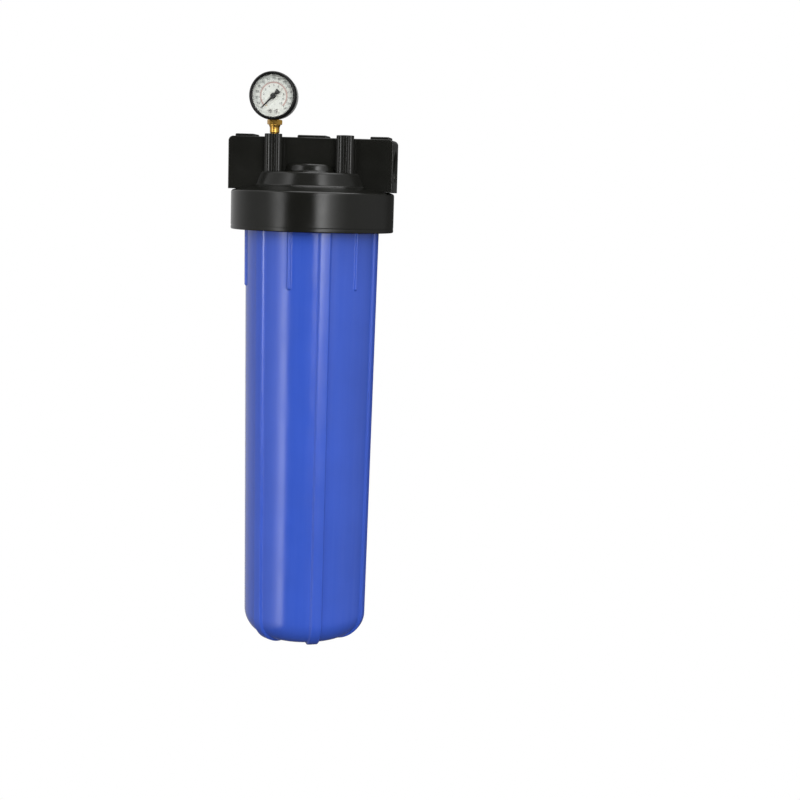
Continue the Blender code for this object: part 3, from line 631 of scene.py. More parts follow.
# ----------------------------------------------------------------------- head
def head_shell():
    outside = [
        (0, 554.0), (31.5, 554.0), (35.0, 552.2), (36.6, 545.4), (38.6, 544.0),
        (58.6, 544.0), (60.2, 542.4), (65.4, 528.8), (67.2, 527.8),
        (90.4, 522.9), (92.4, 521.9), (93.0, 520.2), (93.0, 483.6), (92.75, 483.1), (92.75, 482.3), (93.0, 481.8), (93.0, 479.2),
        (92.2, 478.4), (87.2, 478.4), (85.4, 480.2),
    ]
    special = {1: 3.0, 2: 2.2, 3: 1.4, 4: 1.4, 5: 1.2, 6: 1.2, 7: 1.6, 8: 1.6, 9: 2.0, 10: 1.2, 11: 1.2, 12: 0.3, 13: 0.2, 14: 0.2, 15: 0.3, 16: 0.4, 17: 0.4, 18: 0.6, 19: 0.6}
    profile = fillet(outside, 0.6, special, n=3)
    first = len(profile)
    z = 481.4
    while z < 510.2:
        profile.append((85.4, z))
        z += 0.55
    last = len(profile)
    profile += [(85.4, 511.9), (84.5, 512.9), (0, 512.9)]

    def wave(angle, row, r, z):
        if not first <= row < last:
            return r, z
        fade = clamp((z - 481.8) / 1.6) * clamp((509.6 - z) / 1.6)
        turned = (angle + math.pi / 2) % TAU
        return r - 2.7 * fade * ridge(turned, z, 487.5, 1.9, 0.75), z

    return lathe(profile, 240, wave=wave)


def threaded_hole(radius, depth, lead, height, steps=80):
    """A cutter whose wall carries a helical pipe thread, opening towards +Z at height 0."""
    profile = [(0, 1.0), (radius + 1.2, 1.0), (radius + 1.2, 0.0), (radius + 0.1, -1.2)]
    first = len(profile)
    d = -1.4
    while d > -(depth - 2.4):
        profile.append((radius, d))
        d -= lead / 5
    last = len(profile)
    profile += [(radius - 0.2, -(depth - 2.0)), (radius - 0.2, -depth), (0, -depth)]

    def wave(angle, row, r, z):
        if not first <= row < last:
            return r, z
        s = (z / lead - angle / TAU) % 1.0
        fade = clamp((z + depth - 2.2) / 2.0)
        return r - height * fade * (1 - abs(2 * s - 1)), z

    return lathe(profile, steps, wave=wave)


def block_and_bosses():
    end_r = 5.5
    outline = (
        [(-BLOCK_X, BLOCK_LOW), (BLOCK_X, BLOCK_LOW)]
        + arc(BLOCK_X - end_r, BLOCK_HIGH - end_r, end_r, 0, 90, 8)
        + arc(-BLOCK_X + end_r, BLOCK_HIGH - end_r, end_r, 90, 180, 8)
    )
    block = prism(outline, -BLOCK_Y, BLOCK_Y)

    def rim(edge):
        ys = [v.co.y for v in edge.verts]
        return abs(abs(ys[0]) - BLOCK_Y) < 1e-4 and abs(ys[0] - ys[1]) < 1e-4

    bevel_edges(block, rim, 1.1, 3)
    steps = []
    pads = []
    for x0, x1 in ((-88.0, -66.5), (-16.5, 16.5), (66.5, 88.0)):
        pad = prism([(x0, 580.0), (x1, 580.0), (x1, PAD_TOP), (x0, PAD_TOP)], -15.0, 15.0)
        bevel_edges(pad, lambda e: min(v.co.z for v in e.verts) > PAD_TOP - 1e-4 or abs(e.verts[0].co.z - e.verts[1].co.z) > 1, 1.3, 3)
        pads.append(pad)
    steps.append(("UNION", join(*pads)))
    bosses, columns = [], []
    for side in (-1, 1):
        x = side * BOSS_X
        bosses.append(move(lathe(fillet([(0, BOSS_TOP), (BOSS_R, BOSS_TOP), (BOSS_R + 0.25, 541.0), (0, 541.0)], 0.8, {2: 0}, n=3), 56), x, BOSS_Y, 0))
        for dx in (-5.8, 5.8):
            top = BOSS_TOP - 0.25
            columns.append(move(lathe(fillet([(0, top), (4.1, top), (4.3, 541.6), (0, 541.6)], 0.8, {2: 0}, n=3), 40), x + dx, -30.0, 0))
    steps += [("UNION", join(*bosses)), ("UNION", join(*columns))]
    return combine(block, steps)


def build_head():
    shell = scratch_object(head_shell())
    solid = mesh_to_bm(block_and_bosses())
    chambers = [
        (0, 536.0), (42.5, 536.0), (42.5, 516.4), (47.0, 516.4), (47.0, 536.0),
        (55.0, 536.0), (60.5, 523.0), (66.3, 512.35), (66.3, 508.0), (0, 508.0),
    ]
    chambers = lathe(fillet(chambers, 1.2, {0: 0, 8: 0, 9: 0}, n=3), 144)
    ports, first, second = [], [], []
    for side in (-1, 1):
        port = threaded_hole(PORT_R, PORT_DEPTH, 2.309, 1.1)
        ports.append(place(port, Matrix.Translation((side * BLOCK_X, 0, PORT_Z)) @ Matrix.Rotation(side * math.pi / 2, 4, "Y")))
        for y in (-8.5, 8.5):
            ports.append(move(rod(2.6, 573.0, 590.0, 24), side * 77.2, y, 0))
    ports.append(move(rod(5.1, 569.5, 590.0, 36), -BOSS_X, BOSS_Y, 0))
    first.append(along_x(rod(13.0, 0, 76.4, 56), -74.0, 0, PORT_Z + 0.1))
    first.append(along_x(rod(13.0, 0, 29.0, 56), 45.5, 0, PORT_Z - 0.1))
    first.append(move(rod(1.6, 551.3, 572.0, 16), -BOSS_X, BOSS_Y, 0))
    second.append(move(rod(16.0, 533.0, 553.7, 56), 0.3, 0, 0))
    second.append(prism([(47.4, 533.0), (54.6, 533.0), (54.6, 552.9), (47.4, 552.9)], -12.0, 12.0))
    drop = prism([(47.7, 516.9), (62.0, 516.9), (62.0, 552.6), (47.7, 552.6)], -9.5, 9.5)
    second.append(along_y(rod(1.5, 0, 16.0, 16), -BOSS_X + 0.05, BOSS_Y - 1.0, 553.0))
    return combine(shell, [("UNION", solid), ("DIFFERENCE", join(chambers, *ports)), ("DIFFERENCE", join(*first)), ("DIFFERENCE", join(*second)), ("DIFFERENCE", drop)])


finish_piece("head_casting", build_head(), BLACK, "head", ["head_cap"], sharp=30, weighted=True)


# --------------------------------------------------------------------- basket
BASKET_ROWS, BASKET_LOW, BASKET_HIGH = 27, 92.0, 470.0


def build_basket():
    """A moulded tube of pointed rings and short bars, with a plain collar and a rounded, slotted end."""
    n, count = 160, 8
    ro, ri = 56.5, 53.7
    pitch = (BASKET_HIGH - BASKET_LOW) / BASKET_ROWS
    outer = [(12.0, 57.0), (24.0, 57.0), (34.0, 57.0), (44.0, 57.6), (48.6, 59.4), (52.2, 62.6), (54.8, 67.0), (56.0, 71.5), (ro, 76.0), (ro, 80.4), (57.4, 81.2), (60.3, 82.9), (60.6, 83.7), (60.3, 84.5), (57.4, 86.8), (ro, 87.8)]
    inner = [(12.0, 60.0), (24.0, 60.0), (34.0, 60.0), (43.0, 60.6), (46.8, 61.9), (50.0, 64.7), (52.2, 68.4), (53.3, 72.2), (ri, 76.0), (ri, 80.4), (ri, 81.2), (ri, 82.9), (ri, 83.7), (ri, 84.5), (ri, 86.8), (ri, 87.8)]
    opened = {1: 0, 4: 1}
    for k in range(BASKET_ROWS):
        z0 = BASKET_LOW + pitch * k
        opened[len(outer)] = k % 2
        for dz, bulge in ((0.0, 0.0), (3.6, 0.0), (5.2, 0.5), (7.9, 1.9), (8.8, 2.3), (9.7, 1.9), (12.4, 0.5)):
            outer.append((ro + bulge, z0 + dz))
            inner.append((ri, z0 + dz))
    outer += [(ro, 470.0), (ro, 475.6), (56.9, 476.6), (58.2, 477.8), (58.5, 478.6), (58.5, 494.6), (58.3, 494.9), (58.3, 495.3), (58.5, 495.6), (58.5, 511.4), (58.1, 512.0)]
    inner += [(ri, 470.0), (ri, 475.6), (54.0, 476.6), (55.0, 477.8), (55.3, 478.6), (55.3, 494.6), (55.3, 494.9), (55.3, 495.3), (55.3, 495.6), (55.3, 511.4), (55.7, 512.0)]
    bm = bmesh.new()

    def ring(r, z):
        return [bm.verts.new((r * math.cos(TAU * i / n), r * math.sin(TAU * i / n), z)) for i in range(n)]

    outs, ins = [ring(*p) for p in outer], [ring(*p) for p in inner]
    period, bar = n // count, 4

    def is_open(row, i):
        if row not in opened or row >= len(outer) - 1:
            return False
        return (i + opened[row] * period // 2) % period >= bar

    for row in range(len(outer) - 1):
        for i in range(n):
            j = (i + 1) % n
            if not is_open(row, i):
                bm.faces.new((outs[row][i], outs[row][j], outs[row + 1][j], outs[row + 1][i]))
                bm.faces.new((ins[row][j], ins[row][i], ins[row + 1][i], ins[row + 1][j]))
                continue
            if not is_open(row - 1, i):
                bm.faces.new((outs[row][i], outs[row][j], ins[row][j], ins[row][i]))
            if not is_open(row + 1, i):
                bm.faces.new((outs[row + 1][j], outs[row + 1][i], ins[row + 1][i], ins[row + 1][j]))
            if not is_open(row, (i - 1) % n):
                bm.faces.new((outs[row][i], ins[row][i], ins[row + 1][i], outs[row + 1][i]))
            if not is_open(row, j):
                bm.faces.new((ins[row][j], outs[row][j], outs[row + 1][j], ins[row + 1][j]))
    for i in range(n):
        j = (i + 1) % n
        bm.faces.new((outs[-1][i], outs[-1][j], ins[-1][j], ins[-1][i]))
    for rings, z in ((outs, 57.0), (ins, 60.0)):
        hub = bm.verts.new((0, 0, z))
        for i in range(n):
            bm.faces.new((rings[0][i], rings[0][(i + 1) % n], hub))
    bmesh.ops.recalc_face_normals(bm, faces=bm.faces)
    edges = [e for e in bm.edges if len(e.link_faces) == 2 and e.calc_face_angle(0.0) > 1.1 and max(v.co.z for v in e.verts) < 475]
    bmesh.ops.bevel(bm, geom=edges, offset=0.35, segments=1, profile=0.5, affect="EDGES", clamp_overlap=True)
    lugs = []
    for k in range(4):
        lug = along_x(rod(1.75, 0, 11.5, 20, 0.5), 56.9, 0, 487.05)
        lugs.append(place(lug, Matrix.Rotation(math.radians(36.0 + 90 * k), 4, "Z")))
    return combine(bm, [("UNION", join(*lugs))])


finish_piece("slotted_basket", build_basket(), WHITE, "basket", ["bag_basket"], sharp=40)


# ------------------------------------------------------------------------ bag
def build_bag():
    """A sewn felt sock: creased where the water presses it into the slots, gathered at its closed end, lapped down one side."""
    n = 220
    low, high = 76.0, 499.4
    base = [(0.0, 0.0), (8.0, 0.4), (16.0, 1.2), (24.0, 3.0), (31.0, 6.0), (38.0, 10.6), (43.5, 16.6), (47.5, 23.4), (50.0, 31.0), (51.2, 38.0), (51.7, 44.0)]
    rows = [(r, low + z) for r, z in base]
    z = low + 44.0
    while z < high - 14.0:
        z += 2.6
        rows.append((51.7, z))
    rows += [(51.7, high - 12.4), (51.7, high - 12.0), (51.95, high - 11.6), (52.0, high - 11.0), (52.0, high - 6.0), (52.0, high - 0.8), (51.5, high)]
    total = len(rows)
    seam = math.radians(128.0)

    def ripple(a, z):
        along = (z - low) / (high - low)
        calm = smooth((z - low - 30) / 60) * smooth((high - 16 - z) / 50)
        w = 0.32 * math.sin(3 * a + 5.2 * along + 0.7) + 0.24 * math.sin(5 * a - 11.0 * along + 2.1)
        w += 0.20 * math.sin(8 * a + 17.0 * along + 1.3 * math.sin(9 * along)) + 0.16 * math.sin(13 * a - 23.0 * along + 0.4)
        creases = math.sin(z / 14.0 * TAU + 0.9 * math.sin(2 * a + 0.3)) * 0.16 * (0.6 + 0.4 * math.sin(4 * a + z / 37.0))
        gather = 0.5 * (1 - smooth((z - low - 14) / 34)) * math.sin(26 * a + 0.8 * math.sin(3 * a)) * smooth((z - low) / 8)
        return calm * (w - 0.75 + creases) + gather * 0.55

    def lap(a):
        d = abs((a - seam + math.pi) % TAU - math.pi) * 52.0
        stitches = 0.0
        return 0.55 * (1 - smooth((d - 5.0) / 1.4)) + stitches

    def ring_seam(z):
        return -0.5 * math.exp(-((z - low - 40.0) / 1.2) ** 2)

    bm = bmesh.new()
    outs, ins = [], []
    wall = 2.5
    for k, (r, z) in enumerate(rows):
        a_out, a_in = [], []
        if r < 1e-6:
            outs.append(bm.verts.new((0, 0, z)))
            ins.append(bm.verts.new((0, 0, z + wall)))
            continue
        r0, z0 = rows[max(k - 1, 0)]
        r1, z1 = rows[min(k + 1, total - 1)]
        length = math.hypot(r1 - r0, z1 - z0) or 1.0
        nr, nz = (z1 - z0) / length, -(r1 - r0) / length
        if k >= total - 2:
            nr, nz = 1.0, 0.0
        for i in range(n):
            a = TAU * i / n
            lift = ripple(a, z) + ring_seam(z) * smooth((r - 20) / 20)
            extra = lap(a) * smooth((r - 12) / 14) * (0 if z > high - 13 else 1)
            out_r, out_z = r + nr * (lift + extra - 0.5), z + nz * (lift + extra) * (1 if z > low + 6 else 0.3)
            in_r, in_z = r - nr * wall + nr * lift - 0.0, z - nz * wall
            if k == total - 1:
                out_z, in_z = z, z
            c, s = math.cos(a), math.sin(a)
            a_out.append(bm.verts.new((out_r * c, out_r * s, max(out_z, low))))
            a_in.append(bm.verts.new((in_r * c, in_r * s, in_z)))
        outs.append(a_out)
        ins.append(a_in)
    for i in range(n):
        j = (i + 1) % n
        bm.faces.new((outs[0], outs[1][j], outs[1][i]))
        bm.faces.new((ins[0], ins[1][i], ins[1][j]))
        for k in range(1, total - 1):
            bm.faces.new((outs[k][i], outs[k][j], outs[k + 1][j], outs[k + 1][i]))
            bm.faces.new((ins[k][j], ins[k][i], ins[k + 1][i], ins[k + 1][j]))
        bm.faces.new((outs[-1][i], outs[-1][j], ins[-1][j], ins[-1][i]))
    return bm


finish_piece("felt_bag", build_bag(), FELT, "bag", ["filter_bag"], sharp=70)


def bag_stitches():
    """Two rows of thread along the lapped seam, and one round the top hem."""
    made = []
    seam = math.radians(128.0)

    def stitch(at, along, out):
        along, out = along.normalized(), out.normalized()
        side = along.cross(out)
        bm = bmesh.new()
        rings = []
        for t in (-1.0, -0.8, -0.35, 0.35, 0.8, 1.0):
            swell = math.sqrt(max(0.0, 1 - t * t)) if abs(t) < 1 else 0.0
            centre = at + along * (t * 1.5) + out * (0.28 * (1 - t * t) - 0.12)
            size = 0.22 * (0.45 + 0.55 * swell)
            rings.append([bm.verts.new(centre + (side * math.cos(TAU * k / 6) + out * math.sin(TAU * k / 6)) * size) for k in range(6)])
        for low, high in zip(rings, rings[1:]):
            for k in range(6):
                m = (k + 1) % 6
                bm.faces.new((low[k], low[m], high[m], high[k]))
        bm.faces.new(rings[0])
        bm.faces.new(rings[-1][::-1])
        return bm

    for dx in (-3.2, 3.2):
        a = seam + dx / 52.0
        z = 128.0
        while z < 484.0:
            along = (z - 76.0) / (499.4 - 76.0)
            calm = smooth((z - 106) / 60) * smooth((483.4 - z) / 50)
            w = 0.32 * math.sin(3 * a + 5.2 * along + 0.7) + 0.24 * math.sin(5 * a - 11.0 * along + 2.1)
            w += 0.20 * math.sin(8 * a + 17.0 * along + 1.3 * math.sin(9 * along)) + 0.16 * math.sin(13 * a - 23.0 * along + 0.4)
            w += math.sin(z / 14.0 * TAU + 0.9 * math.sin(2 * a + 0.3)) * 0.16 * (0.6 + 0.4 * math.sin(4 * a + z / 37.0)) - 0.75
            r = 51.7 + calm * w + 0.55 - 0.5 + 0.08
            made.append(stitch(Vector((r * math.cos(a), r * math.sin(a), z)), Vector((0, 0, 1)), Vector((math.cos(a), math.sin(a), 0))))
            z += 4.2
    for k in range(78):
        a = TAU * (k + 0.5) / 78
        made.append(stitch(Vector((51.58 * math.cos(a), 51.58 * math.sin(a), 493.0)), Vector((-math.sin(a), math.cos(a), 0)), Vector((math.cos(a), math.sin(a), 0))))
    return join(*made)


THREAD_MAT, _tree, _shader, _coords = new_material("sewing_thread", (0.66, 0.65, 0.62), 0.7, Sheen_Weight=0.2)
_tree.links.new(mix_colour(_tree, noise_node(_tree, _coords, 2500.0, 2.0), (0.52, 0.51, 0.48), (0.78, 0.77, 0.74)), _shader.inputs["Base Color"])
bump(_tree, _shader, [(noise_node(_tree, _coords, 6000.0, 2.0), 0.00006)])
finish_piece("bag_stitching", bag_stitches(), THREAD_MAT, "bag", (), sharp=60)

finish_piece(
    "snap_ring",
    lathe(fillet([(59.4, 512.4), (60.0, 513.0), (60.0, 514.3), (59.4, 514.8), (49.6, 514.8), (49.0, 514.2), (49.0, 499.8), (50.2, 499.8), (54.0, 499.8), (54.0, 503.0), (53.6, 503.6), (53.6, 505.0), (54.0, 505.6), (54.0, 511.0), (54.4, 512.4)], 0.35, closed=True, n=3), 180, closed=True),
    SNAP, "bag", ["bag_snap_ring"], sharp=35,
)
finish_piece(
    "lip_gasket",
    lathe(fillet([(49.0, 515.1), (49.0, 516.1), (46.2, 516.1), (45.8, 515.8), (45.0, 515.8), (44.6, 516.1), (41.6, 516.1), (41.6, 512.0), (43.0, 511.6), (48.6, 511.6), (48.6, 515.1)], 0.25, closed=True, n=3), 160, closed=True),
    RUBBER, "bag", ["bag_gasket"], sharp=40,
)


# ---------------------------------------------------------------------- gauge
def turned_y(profile, steps, closed=False, x=0.0, z=0.0):
    return along_y(lathe(profile, steps, closed), GX + x, GY, GZ + z)


def build_stem():
    """Thread, taper, chamfered hexagon and the block that carries the tube."""
    profile = [(0, 600.4), (6.5, 600.4), (6.5, 594.8), (6.2, 594.2), (5.5, 592.4), (5.5, 587.2), (5.2, 586.7), (4.7, 586.1)]
    first = len(profile)
    z = 585.6
    while z > 572.8:
        profile.append((4.7, z))
        z -= 0.24
    last = len(profile)
    profile += [(4.5, 572.6), (4.0, 571.9), (0, 571.9)]

    def wave(angle, row, r, z):
        if not first <= row < last:
            return r, z
        s = (z / 1.337 - angle / TAU) % 1.0
        return r - 0.4 * abs(2 * s - 1) * clamp((585.4 - z) / 1.2), z

    stem = lathe(profile, 64, wave=wave)
    across = 8.6
    hexagon = prism([(across * math.cos(math.radians(60 * i)), across * math.sin(math.radians(60 * i))) for i in range(6)], 595.6, 601.0, "XY")
    cone = lathe([(0, 601.2), (7.3, 601.2), (9.2, 600.1), (9.2, 596.5), (7.3, 595.4), (0, 595.4)], 72)
    nut = mesh_to_bm(combine(hexagon, [("INTERSECT", cone)]))
    neck = rod(4.9, 600.0, 604.6, 48)
    block = prism([(-6.0, 604.2), (6.0, 604.2), (6.0, 614.2), (-6.0, 614.2)], -4.3, 4.2)
    bevel_edges(block, lambda e: True, 0.35, 2)
    groove = lathe([(5.9, 591.2), (5.35, 590.9), (5.35, 590.3), (5.9, 590.0)], 64, closed=True)
    steps = [("UNION", nut), ("UNION", neck), ("UNION", block), ("DIFFERENCE", groove), ("DIFFERENCE", rod(1.2, 570.0, 610.0, 20))]
    return mesh_to_bm(combine(stem, steps))


finish_piece("stem_fitting", move(build_stem(), GX, GY, 0), BRASS, "head", ["gauge_stem"], sharp=28)


def build_case():
    outside = [(0, 9.0), (23.8, 9.0), (25.2, 7.6), (25.2, -12.2), (24.0, -12.2), (24.0, 7.0), (23.2, 7.7), (0, 7.7)]
    cup = turned_y(fillet(outside, 0.5, {1: 1.6, 2: 1.6, 3: 0.2, 4: 0.2}, n=4), 128)
    cuts = [move(rod(5.3, 596.0, 606.0, 40), GX, GY, 0), along_y(rod(3.3, 0, 8, 36), GX, GY + 4, GZ + 17.0)]
    for x in (-3.6, 3.6):
        cuts.append(along_y(rod(1.5, 0, 8, 24), GX + x, GY + 4, GZ - 15.2))
    return combine(cup, [("DIFFERENCE", join(*cuts))])


finish_piece("case_cup", build_case(), CASE, "head", ["gauge_case"], sharp=30)

ring = [(25.6, -8.2), (26.6, -8.6), (26.6, -14.8), (25.2, -16.2), (23.6, -15.8), (23.0, -14.2), (24.95, -14.2), (24.95, -12.5), (25.6, -12.5)]
finish_piece("bezel_ring", turned_y(fillet(ring, 0.3, {1: 0.4, 2: 1.2, 3: 0.9, 4: 0.6}, closed=True, n=4), 144, closed=True), BEZEL, "head", ["gauge_bezel"], sharp=35)

finish_piece(
    "window_disc",
    turned_y([(0, -14.35), (6.0, -14.32), (12.0, -14.23), (18.0, -14.07), (22.2, -13.9), (24.3, -13.75), (24.6, -13.5), (24.6, -12.8), (24.4, -12.6), (0, -12.6)], 96),
    WINDOW, "head", ["gauge_lens"], sharp=40,
)


def build_dial():
    plate = turned_y(fillet([(1.6, -8.6), (23.5, -8.6), (23.5, -7.8), (1.6, -7.8)], 0.12, closed=True, n=2), 128, closed=True)
    return combine(plate, [("DIFFERENCE", join(*[along_y(rod(0.95, -10.5, -6.0, 20), GX + x, GY, GZ - 16.3) for x in (-3.4, 3.4)]))])


finish_piece("dial_plate", build_dial(), DIAL, "head", ["gauge_dial"], sharp=35)

FACE = -8.63      # printed marks stand between FACE and FACE - 0.06
SWEEP = 270.0


def dial_angle(share):
    """Clockwise from straight up, as seen from the front."""
    return math.radians(-135.0 + SWEEP * share)


def tick(share, r0, r1, half):
    a = dial_angle(share)
    across, out = Vector((math.cos(a), -math.sin(a))), Vector((math.sin(a), math.cos(a)))
    outline = [out * r0 - across * half, out * r0 + across * half, out * r1 + across * half, out * r1 - across * half]
    return prism([(GX + p.x, GZ + p.y) for p in outline], GY + FACE - 0.06, GY + FACE)


def dial_arc(r0, r1, share0, share1, n=90):
    outline = [(r1 * math.sin(dial_angle(share0 + (share1 - share0) * i / n)), r1 * math.cos(dial_angle(share0 + (share1 - share0) * i / n))) for i in range(n + 1)]
    inside = [(r0 * math.sin(dial_angle(share0 + (share1 - share0) * i / n)), r0 * math.cos(dial_angle(share0 + (share1 - share0) * i / n))) for i in range(n + 1)]
    near, far = GY + FACE - 0.05, GY + FACE
    bm = bmesh.new()
    rows = []
    for (xo, zo), (xi, zi) in zip(outline, inside):
        rows.append([bm.verts.new((GX + xo, near, GZ + zo)), bm.verts.new((GX + xi, near, GZ + zi)), bm.verts.new((GX + xi, far, GZ + zi)), bm.verts.new((GX + xo, far, GZ + zo))])
    for a, b in zip(rows, rows[1:]):
        for k in range(4):
            m = (k + 1) % 4
            bm.faces.new((a[k], a[m], b[m], b[k]))
    bm.faces.new(rows[0])
    bm.faces.new(rows[-1][::-1])
    return bm


def numeral(text, share, radius, height):
    """A raised printed number, upright, centred at a place on the dial."""
    curve = bpy.data.curves.new("numeral", "FONT")
    curve.body = text
    curve.align_x, curve.align_y = "CENTER", "CENTER"
    curve.size = height * 1.38
    curve.resolution_u = 4
    curve.extrude = 0.03
    obj = bpy.data.objects.new("numeral", curve)
    bpy.context.scene.collection.objects.link(obj)
    bpy.context.view_layer.update()
    mesh = bpy.data.meshes.new_from_object(obj.evaluated_get(bpy.context.evaluated_depsgraph_get()))
    bpy.data.objects.remove(obj, do_unlink=True)
    bpy.data.curves.remove(curve)
    bm = mesh_to_bm(mesh)
    bmesh.ops.remove_doubles(bm, verts=bm.verts, dist=1e-4)
    a = dial_angle(share)
    stand = Matrix.Rotation(math.pi / 2, 4, "X")
    at = Matrix.Translation((GX + radius * math.sin(a), GY + FACE - 0.03, GZ + radius * math.cos(a)))
    return place(bm, at @ stand)


marks = []
for i in range(71):
    marks.append(tick(i / 70, 15.65, 17.0 if i % 5 == 0 else 16.4, 0.20 if i % 5 == 0 else 0.09))
for k in range(15):
    marks.append(numeral(str(10 * k), k / 14, 19.1, 2.7 if k < 10 else 2.3))
for k in range(11):
    marks.append(numeral(str(k), k / 10, 11.4, 2.5))
finish_piece("dial_scale_outer", join(*marks), PRINT, "head", (), sharp=30)
marks = [dial_arc(14.15, 15.5, 0.0, 1.0)]
for i in range(51):
    marks.append(tick(i / 50, 13.0 if i % 5 == 0 else 13.4, 14.0, 0.20 if i % 5 == 0 else 0.10))
finish_piece("dial_scale_inner", join(*marks), PRINT_RED, "head", (), sharp=30)


def slotted_screw(head_r, head_low, head_high, shank_r, shank_end, slot, steps=40):
    """A cheese-head screw along -Y: head_high is its front. The slot argument is not used."""
    body = lathe(fillet([(0, head_low), (head_r, head_low), (head_r, head_high), (shank_r, head_high), (shank_r, shank_end), (0, shank_end)], 0.18, {1: 0.35}, n=3), steps)
    return body


for name, x in (("left", -3.4), ("right", 3.4)):
    body = slotted_screw(2.05, -10.1, -8.9, 0.7, -6.9, 0.5)
    slot_cut = place(prism([(-3, -0.22), (3, -0.22), (3, 0.22), (-3, 0.22)], -11.0, -9.65, "XY"), Matrix.Rotation(math.radians(24 if x < 0 else -37), 4, "Z"))
    finish_piece("scale_screw_" + name, along_y(mesh_to_bm(combine(body, [("DIFFERENCE", slot_cut)])), GX + x, GY, GZ - 16.3), SCREW, "head", ["dial_screw_" + name], sharp=30)

REST = math.radians(-135.0)


def build_needle():
    right = [(0.20, 18.0), (0.55, 16.4), (0.80, 12.0), (1.15, 3.0)] + arc(0, 0, 3.2, 68, -68, 12) + [(1.45, -3.6), (2.9, -7.6), (2.3, -8.6)]
    points = right + [(-a, b) for a, b in reversed(right)]
    c, s = math.cos(REST), math.sin(REST)
    outline = [(a * c + b * s, -a * s + b * c) for a, b in points]
    blade = prism(outline, -11.4, -10.9)
    bevel_edges(blade, lambda e: abs(e.verts[0].co.y - e.verts[1].co.y) < 1e-4 and min(v.co.y for v in e.verts) < -11.3, 0.10, 2)
    hub = along_y(lathe(fillet([(0, -11.9), (2.4, -11.9), (2.4, -10.2), (0, -10.2)], 0.3, n=4), 48), 0, 0, 0)
    cut = along_y(rod(0.75, -11.1, -9.0, 24), 0, 0, 0)
    slot_cut = prism([(-3, -0.2), (3, -0.2), (3, 0.2), (-3, 0.2)], -12.3, -11.65)
    return mesh_to_bm(combine(blade, [("UNION", hub), ("DIFFERENCE", cut), ("DIFFERENCE", slot_cut)]))


finish_piece("pointer", move(build_needle(), GX, GY, GZ), POINTER, "needle", ["gauge_needle"], sharp=30)
finish_piece(
    "stop_peg", along_y(rod(0.45, -11.6, -8.9, 20, 0.15), GX + 13.2 * math.sin(REST) + 1.25, GY, GZ + 13.2 * math.cos(REST) - 1.25),
    BRASS, "head", ["needle_stop_pin"], sharp=35,
)
finish_piece(
    "vent_button", turned_y(fillet([(0, 10.6), (3.6, 10.6), (4.4, 10.0), (4.4, 9.3), (3.0, 9.3), (3.0, 7.2), (0, 7.2)], 0.3, n=4), 56, z=17.0),
    RUBBER, "head", ["vent_plug"], sharp=35,
)
for name, x in (("left", -3.6), ("right", 3.6)):
    body = lathe(fillet([(0, 10.9), (2.0, 10.9), (2.6, 10.3), (2.6, 9.3), (1.2, 9.3), (1.2, 5.9), (0, 5.9)], 0.3, {4: 0}, n=3), 40)
    arm = [prism([(-1.5, -0.24), (1.5, -0.24), (1.5, 0.24), (-1.5, 0.24)], 10.1, 11.4, "XY"), prism([(-0.24, -1.5), (0.24, -1.5), (0.24, 1.5), (-0.24, 1.5)], 10.15, 11.35, "XY")]
    turn = Matrix.Rotation(math.radians(20 if x < 0 else 62), 4, "Z")
    steps = [("DIFFERENCE", place(a, turn)) for a in arm]
    finish_piece("rear_screw_" + name, along_y(mesh_to_bm(combine(body, steps)), GX + x, GY, GZ - 15.2), SCREW, "head", ["case_screw_" + name], sharp=30)


# Movement, inside the case: the frame's own pieces with their finish.
for node, mat in (
    ("pinion_shaft", BRASS), ("movement_front_plate", BRASS), ("movement_rear_plate", BRASS), ("sector_pivot", STEEL),
    ("sector_gear", BRASS), ("bourdon_tube", TUBE), ("tip_link", STEEL), ("hairspring", SPRING),
):
    data = NODES[node].data
    data.materials.clear()
    data.materials.append(mat)


# ---------------------------------------------------------------------- stage
def area_light(name, azimuth, distance, height, width, tall, power, aim=0.3, gloss=True):
    data = bpy.data.lights.new(name, "AREA")
    data.shape, data.size, data.size_y = "RECTANGLE", width, tall
    data.energy = power
    obj = bpy.data.objects.new(name, data)
    bpy.context.scene.collection.objects.link(obj)
    a = math.radians(azimuth)
    at = Vector((math.sin(a) * distance, -math.cos(a) * distance, height))
    obj.location = at
    obj.rotation_euler = (Vector((0, 0, aim)) - at).to_track_quat("-Z", "Y").to_euler()
    obj.visible_camera = False
    obj.visible_glossy = gloss
    return obj


def ramp(tree, value, stops):
    node = tree.nodes.new("ShaderNodeValToRGB")
    points = node.color_ramp.elements
    while len(points) < len(stops):
        points.new(0.5)
    for point, (at, grey) in zip(points, stops):
        point.position = at
        point.color = (grey, grey, grey, 1.0)
    tree.links.new(value, node.inputs[0])
    return node.outputs[0]


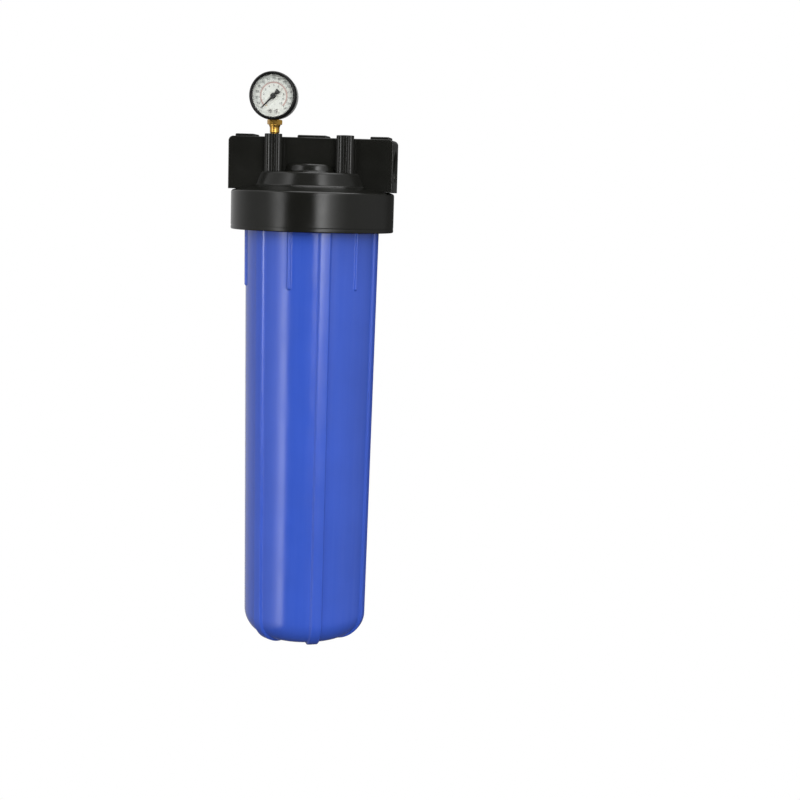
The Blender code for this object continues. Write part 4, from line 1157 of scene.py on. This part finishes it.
def make_light():
    """A white room: bright on the left and behind, dark in front of the object, mid grey on the right."""
    world = bpy.data.worlds.new("studio")
    bpy.context.scene.world = world
    world.use_nodes = True
    tree = world.node_tree
    background = tree.nodes["Background"]
    split = tree.nodes.new("ShaderNodeSeparateXYZ")
    tree.links.new(tree.nodes.new("ShaderNodeTexCoord").outputs["Generated"], split.inputs[0])
    x = remap(tree, split.outputs["X"], -1.0, 1.0, 0.0, 1.0)
    low = [(0.0, 0.055), (0.10, 0.08), (0.155, 0.22), (0.195, 0.46), (0.238, 0.40), (0.268, 0.006), (0.636, 0.006), (0.648, 0.02), (0.78, 0.03), (1.0, 0.05)]
    high = low[:7] + [(0.648, 1.0), (0.712, 0.92), (0.78, 0.30), (0.86, 0.12), (0.93, 0.06), (1.0, 0.06)]
    lifted = remap(tree, split.outputs["Z"], -0.175, -0.055, 0.0, 1.0)
    front = mix_colour(tree, lifted, ramp(tree, x, low), ramp(tree, x, high))
    rear = ramp(tree, x, [(0.0, 0.065), (0.30, 0.06), (0.48, 0.02), (0.58, 0.004), (0.80, 0.008), (1.0, 0.05)])
    back = remap(tree, split.outputs["Y"], 0.0, 0.35, 0.0, 1.0)
    above = remap(tree, split.outputs["Z"], 0.45, 0.95, 0.0, 1.0)
    beneath = remap(tree, split.outputs["Z"], -0.75, -0.2, 1.0, 0.0)
    room = mix_colour(tree, back, front, rear)
    room = mix_colour(tree, above, room, (0.042, 0.042, 0.042))
    room = mix_colour(tree, beneath, room, (0.008, 0.008, 0.008))
    room = mix_colour(tree, 1.0, room, (10.0, 10.0, 10.0), "MULTIPLY")
    path = tree.nodes.new("ShaderNodeLightPath")
    tree.links.new(mix_colour(tree, path.outputs["Is Camera Ray"], room, (1.0, 1.0, 1.0)), background.inputs["Color"])
    background.inputs["Strength"].default_value = 1.0
    area_light("strip_right", 40.0, 3.0, 0.88, 1.15, 1.55, 16.0, aim=0.45, gloss=False)
    area_light("front_fill", -24.0, 2.6, 1.5, 2.4, 1.6, 12.0, aim=0.3, gloss=False)
    area_light("rear_fill", 178.0, 2.8, 1.3, 2.4, 1.8, 20.0, aim=0.3, gloss=False)
    sun = bpy.data.lights.new("overhead", "SUN")
    sun.energy, sun.angle = 1.9, math.radians(50)
    lamp = bpy.data.objects.new("overhead", sun)
    bpy.context.scene.collection.objects.link(lamp)
    lamp.rotation_euler = (math.radians(-8), math.radians(6), 0)


make_light()
bpy.context.scene.view_settings.view_transform = "Standard"
bpy.context.scene.view_settings.look = "None"
